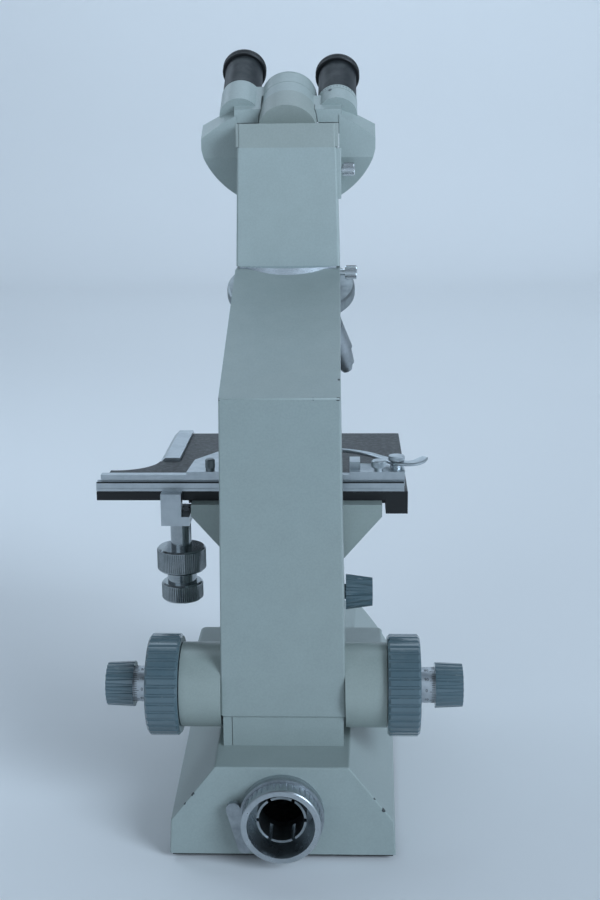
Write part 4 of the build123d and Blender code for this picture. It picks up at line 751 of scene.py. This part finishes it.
def smoothLine(points, steps):            # Catmull-Rom through the given points
    out = []
    ends = [points[0] * 2 - points[1]] + points + [points[-1] * 2 - points[-2]]
    for a, b, c, d in zip(ends, ends[1:], ends[2:], ends[3:]):
        square = 2 * a - 5 * b + 4 * c - d
        cube = 3 * b - a - 3 * c + d
        for k in range(steps):
            t = k / steps
            out.append(0.5 * (2 * b + (c - a) * t + square * t ** 2 + cube * t ** 3))
    return out + [points[-1]]


def makeFinger(s):
    knots = [Vector((x, y, z, w)) for (x, y, z), w in zip(s["line"], s["width"])]
    path = smoothLine(knots, s["steps"])
    high, b = s["thick"], s["bevel"]
    bm = bmesh.new()
    rings = []
    for i, p in enumerate(path):
        ahead, behind = path[min(i + 1, len(path) - 1)], path[max(i - 1, 0)]
        along = Vector((ahead.x - behind.x, ahead.y - behind.y, 0)).normalized()
        across = Vector((-along.y, along.x, 0))
        mid = Vector((s["post"][0] + p.x, s["post"][1] + p.y, s["under"] + p.z))
        half = p.w / 2
        section = [
            (-half + b, 0), (half - b, 0), (half, b), (half, high - b),
            (half - b, high), (-half + b, high), (-half, high - b), (-half, b),
        ]
        rings.append([bm.verts.new((mid + across * o + Vector((0, 0, h))) * mm) for o, h in section])
    for here, there in zip(rings, rings[1:]):
        bridge(bm, here, there)
    bm.faces.new(rings[0])
    bm.faces.new(rings[-1])
    finger = addPiece("bent_slide_finger", bm, "brightZ", "finger", s["sharp"])
    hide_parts("slide_finger")


makeFinger(fingerSet)
print("stage 5: slide finger")


# straight strips: a rounded bead laid along a line between two points
def layBead(bm, start, end, radius, sides=10):
    run = Vector(end) - Vector(start)
    where = axisFrame(start, run)
    tip = 0.4                             # share of the radius, at the ends and in their taper
    lead = tip * radius
    rings = []
    for h, r in ((0.0, lead), (lead, radius), (run.length - lead, radius), (run.length, lead)):
        turns = [tau * k / sides for k in range(sides)]
        points = [Vector((r * cos(a), r * sin(a), h)) * mm for a in turns]
        rings.append([bm.verts.new(where @ p) for p in points])
    for here, there in zip(rings, rings[1:]):
        bridge(bm, here, there)
    bm.faces.new(rings[0][::-1])
    bm.faces.new(rings[-1])


# rail: a dark bead along the running slot under the slider, a painted shadow, and a bright line along the
# lower edge
railSet = dict(fromX=-74.5, toX=121.8, rear=84.55, slot=202.5, shadowRadius=0.5, edge=198.6, edgeRadius=0.3)


def makeRailLines(s):
    bm = bmesh.new()
    # dark bead in the slot: a painted shadow
    layBead(bm, (s["fromX"], s["rear"], s["slot"]), (s["toX"], s["rear"], s["slot"]), s["shadowRadius"])
    addPiece("rail_slot_shadow", bm, "inkAndShade", "stage")
    bm = bmesh.new()
    layBead(bm, (s["fromX"], s["rear"], s["edge"]), (s["toX"], s["rear"], s["edge"]), s["edgeRadius"])
    addPiece("rail_edge_line", bm, "brightX", "stage")


makeRailLines(railSet)

# nosepiece: grip round the turret's rim, and on each objective a knurled ring and two fine lines
noseSet = dict(
    tilt=20.0, centre=(0, -14.5, 313.0), half=4.5, lead=0.3, depth=0.3, sharp=20,
    gripInner=42.5, gripOuter=43.75, gripHalf=2.6, gripSteps=300,
    ringInner=8.8, ringOuter=10.1, ringFrom=18.5, ringTo=23.0, ringSteps=110,
    lineInner=9.2, lineOuter=9.92, linesAt=(25.0, 26.2), lineWide=0.5, lineSteps=72,
    turns={"high": 90, "oil": 180, "low": 270, "medium": 0},
)


def makeNoseRings(s):
    tilt = radians(s["tilt"])
    axis = Vector((0, sin(tilt), cos(tilt)))
    knurl = (s["lead"], s["depth"])
    bm = bmesh.new()
    where = axisFrame(s["centre"], axis)
    grip = (s["gripInner"], s["gripOuter"], -s["gripHalf"], s["gripHalf"])
    layKnurl(bm, where, s["gripSteps"], *grip, *knurl)
    addPiece("turret_grip", bm, "steelTurret", "nosepiece", s["sharp"])
    face = Vector(s["centre"]) - axis * s["half"]
    reach = -face.y / cos(tilt)           # from the turret's axis to an objective's, on the lower face
    across, along = Vector((1, 0, 0)), Vector((0, cos(tilt), -sin(tilt)))
    ring = (s["ringInner"], s["ringOuter"], s["ringFrom"], s["ringTo"])
    inner, outer, wide = s["lineInner"], s["lineOuter"], s["lineWide"]
    for name, turn in s["turns"].items():
        out = across * cos(radians(turn)) + along * sin(radians(turn))
        down = out * sin(tilt) - axis * cos(tilt)
        where = axisFrame(face + out * reach, down, axis)
        bm = bmesh.new()
        layKnurl(bm, where, s["ringSteps"], *ring, *knurl)
        for h in s["linesAt"]:
            loop = [(inner, h), (outer, h), (outer, h + wide), (inner, h + wide)]
            spin(bm, [loop], s["lineSteps"], where)
        addPiece("objective_rings_" + name, bm, "steelZ", "nosepiece", s["sharp"])


makeNoseRings(noseSet)

# slotted screw heads: a low disc with two D-shaped halves either side of the slot
screwSet = dict(
    discSteps=28, discLow=-1.0, discHigh=0.35, core=0.05,      # discHigh and halfLow: shares of the height
    slotHalf=0.16, halfSteps=14, halfLow=0.2, halfWide=0.96, taper=0.95,
)


def layScrew(bm, s, where, radius, high):
    low, top = s["discLow"], s["discHigh"] * high
    spin(bm, [[(s["core"], low), (radius, low), (radius, top), (s["core"], top)]], s["discSteps"], where)
    gap = s["slotHalf"] * radius
    wide = s["halfWide"] * radius
    far = pi / 2 - s["slotHalf"]
    arc = [-far + 2 * far * k / s["halfSteps"] for k in range(s["halfSteps"] + 1)]
    for side in (1, -1):
        lower, upper = [], []
        for a in arc:
            x, y = side * max(wide * cos(a), gap), wide * sin(a)
            inset = s["taper"] * x + (1 - s["taper"]) * side * gap
            lower.append(bm.verts.new(where @ (Vector((x, y, s["halfLow"] * high)) * mm)))
            upper.append(bm.verts.new(where @ (Vector((inset, s["taper"] * y, high)) * mm)))
        bm.faces.new(lower)
        bm.faces.new(upper)
        bridge(bm, lower, upper)


# screws that hold the base plate
plateSet = dict(
    radius=3.0, high=0.9, turnStep=25, sharp=30,
    spots=[(58, 176), (-58, 176), (62, 40), (-62, 40), (50, -62), (-50, -62)],
)


def makePlateScrews(s):
    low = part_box("base_plate")[0].z / mm
    bm = bmesh.new()
    for k, (x, y) in enumerate(s["spots"]):
        turn = radians(s["turnStep"] * k)
        where = axisFrame((x, y, low), (0, 0, -1), (cos(turn), sin(turn), 0))
        layScrew(bm, screwSet, where, s["radius"], s["high"])
    addPiece("base_plate_screws", bm, "steelZ", "stand", s["sharp"])


makePlateScrews(plateSet)

# arm: the rounded crease where the column turns into the arm, a bead in the lighter tube paint as a painted
# highlight
creaseSet = dict(halfX=34.3, y=166.7, z=273.6, radius=0.5, sides=16, sharp=60)


def makeCrease(s):
    bm = bmesh.new()
    start, end = (-s["halfX"], s["y"], s["z"]), (s["halfX"], s["y"], s["z"])
    layBead(bm, start, end, s["radius"], s["sides"])
    # lighter tube paint on the arm's crease: a painted highlight
    addPiece("arm_crease_bead", bm, "tubePaint", "stand", s["sharp"])


makeCrease(creaseSet)
print("stage 6: rail, nosepiece, screws and crease")

# head: cheeks that widen the foot to the block, a cover strip on the block and one set screw
headSet = dict(
    cheeks=[((29.6, 22.0, 409.7), (32.6, 31.4, 424.6)), ((-33.2, 22.0, 409.7), (-29.6, 31.4, 424.6))],
    strip=((-34.8, 23.0, 377.0), (-31.4, 31.0, 409.2)), bevel=0.5, bevelSteps=3, sharp=40,
    screwSpot=(-27.4, -3.4, 445.4), screwAxis=(0.34, 0.47, 0.81), screwRadius=1.2, screwHigh=0.35,
    screwSharp=30,
)


def layPlate(bm, low, high, bevel, steps):    # plate with rounded edges between two corners
    low, high = Vector(low) * mm, Vector(high) * mm
    fit = Matrix.Translation((low + high) / 2) @ Matrix.Diagonal((*(high - low), 1.0))
    made = bmesh.ops.create_cube(bm, size=1.0, matrix=fit)
    edges = list({e for v in made["verts"] for e in v.link_edges})
    bmesh.ops.bevel(bm, geom=edges, offset=bevel * mm, segments=steps, profile=0.5, affect="EDGES")


def makeHeadTrim(s):
    bm = bmesh.new()
    for low, high in s["cheeks"]:
        layPlate(bm, low, high, s["bevel"], s["bevelSteps"])
    addPiece("foot_cheeks", bm, "headPaint", "stand", s["sharp"])
    bm = bmesh.new()
    layPlate(bm, *s["strip"], s["bevel"], s["bevelSteps"])
    addPiece("block_cover_strip", bm, "tubePaint", "stand", s["sharp"])
    bm = bmesh.new()
    where = axisFrame(s["screwSpot"], s["screwAxis"])
    layScrew(bm, screwSet, where, s["screwRadius"], s["screwHigh"])
    addPiece("tube_set_screw", bm, "steelZ", "left_tube", s["screwSharp"])


makeHeadTrim(headSet)
print("stage 7: head trim")

# slide holder: knurled bands on the fixing screw, on the cap over the finger and on the jaw's knob
holderSet = dict(
    lead=0.25, depth=0.26, sharp=20,
    bands={                               # axis, inner, outer, low, high, steps, finish
        "fixing_screw_knurl": ((-58.5, 81.2, 0), 4.0, 4.85, 212.2, 215.8, 76, "brightZ"),
        "finger_cap_knurl": ((-70.0, 73.0, 0), 4.4, 5.2, 214.6, 217.1, 80, "brightZ"),
        "jaw_knob_knurl": ((49.0, 81.2, 0), 2.3, 3.1, 211.4, 216.9, 52, "steelZ"),
    },
)


def makeHolderKnurls(s):
    for name, (spot, inner, outer, low, high, steps, finish) in s["bands"].items():
        bm = bmesh.new()
        where = axisFrame(spot, (0, 0, 1))
        layKnurl(bm, where, steps, inner, outer, low, high, s["lead"], s["depth"])
        addPiece(name, bm, finish, "slider", s["sharp"])


makeHolderKnurls(holderSet)
print("stage 8: slide holder")
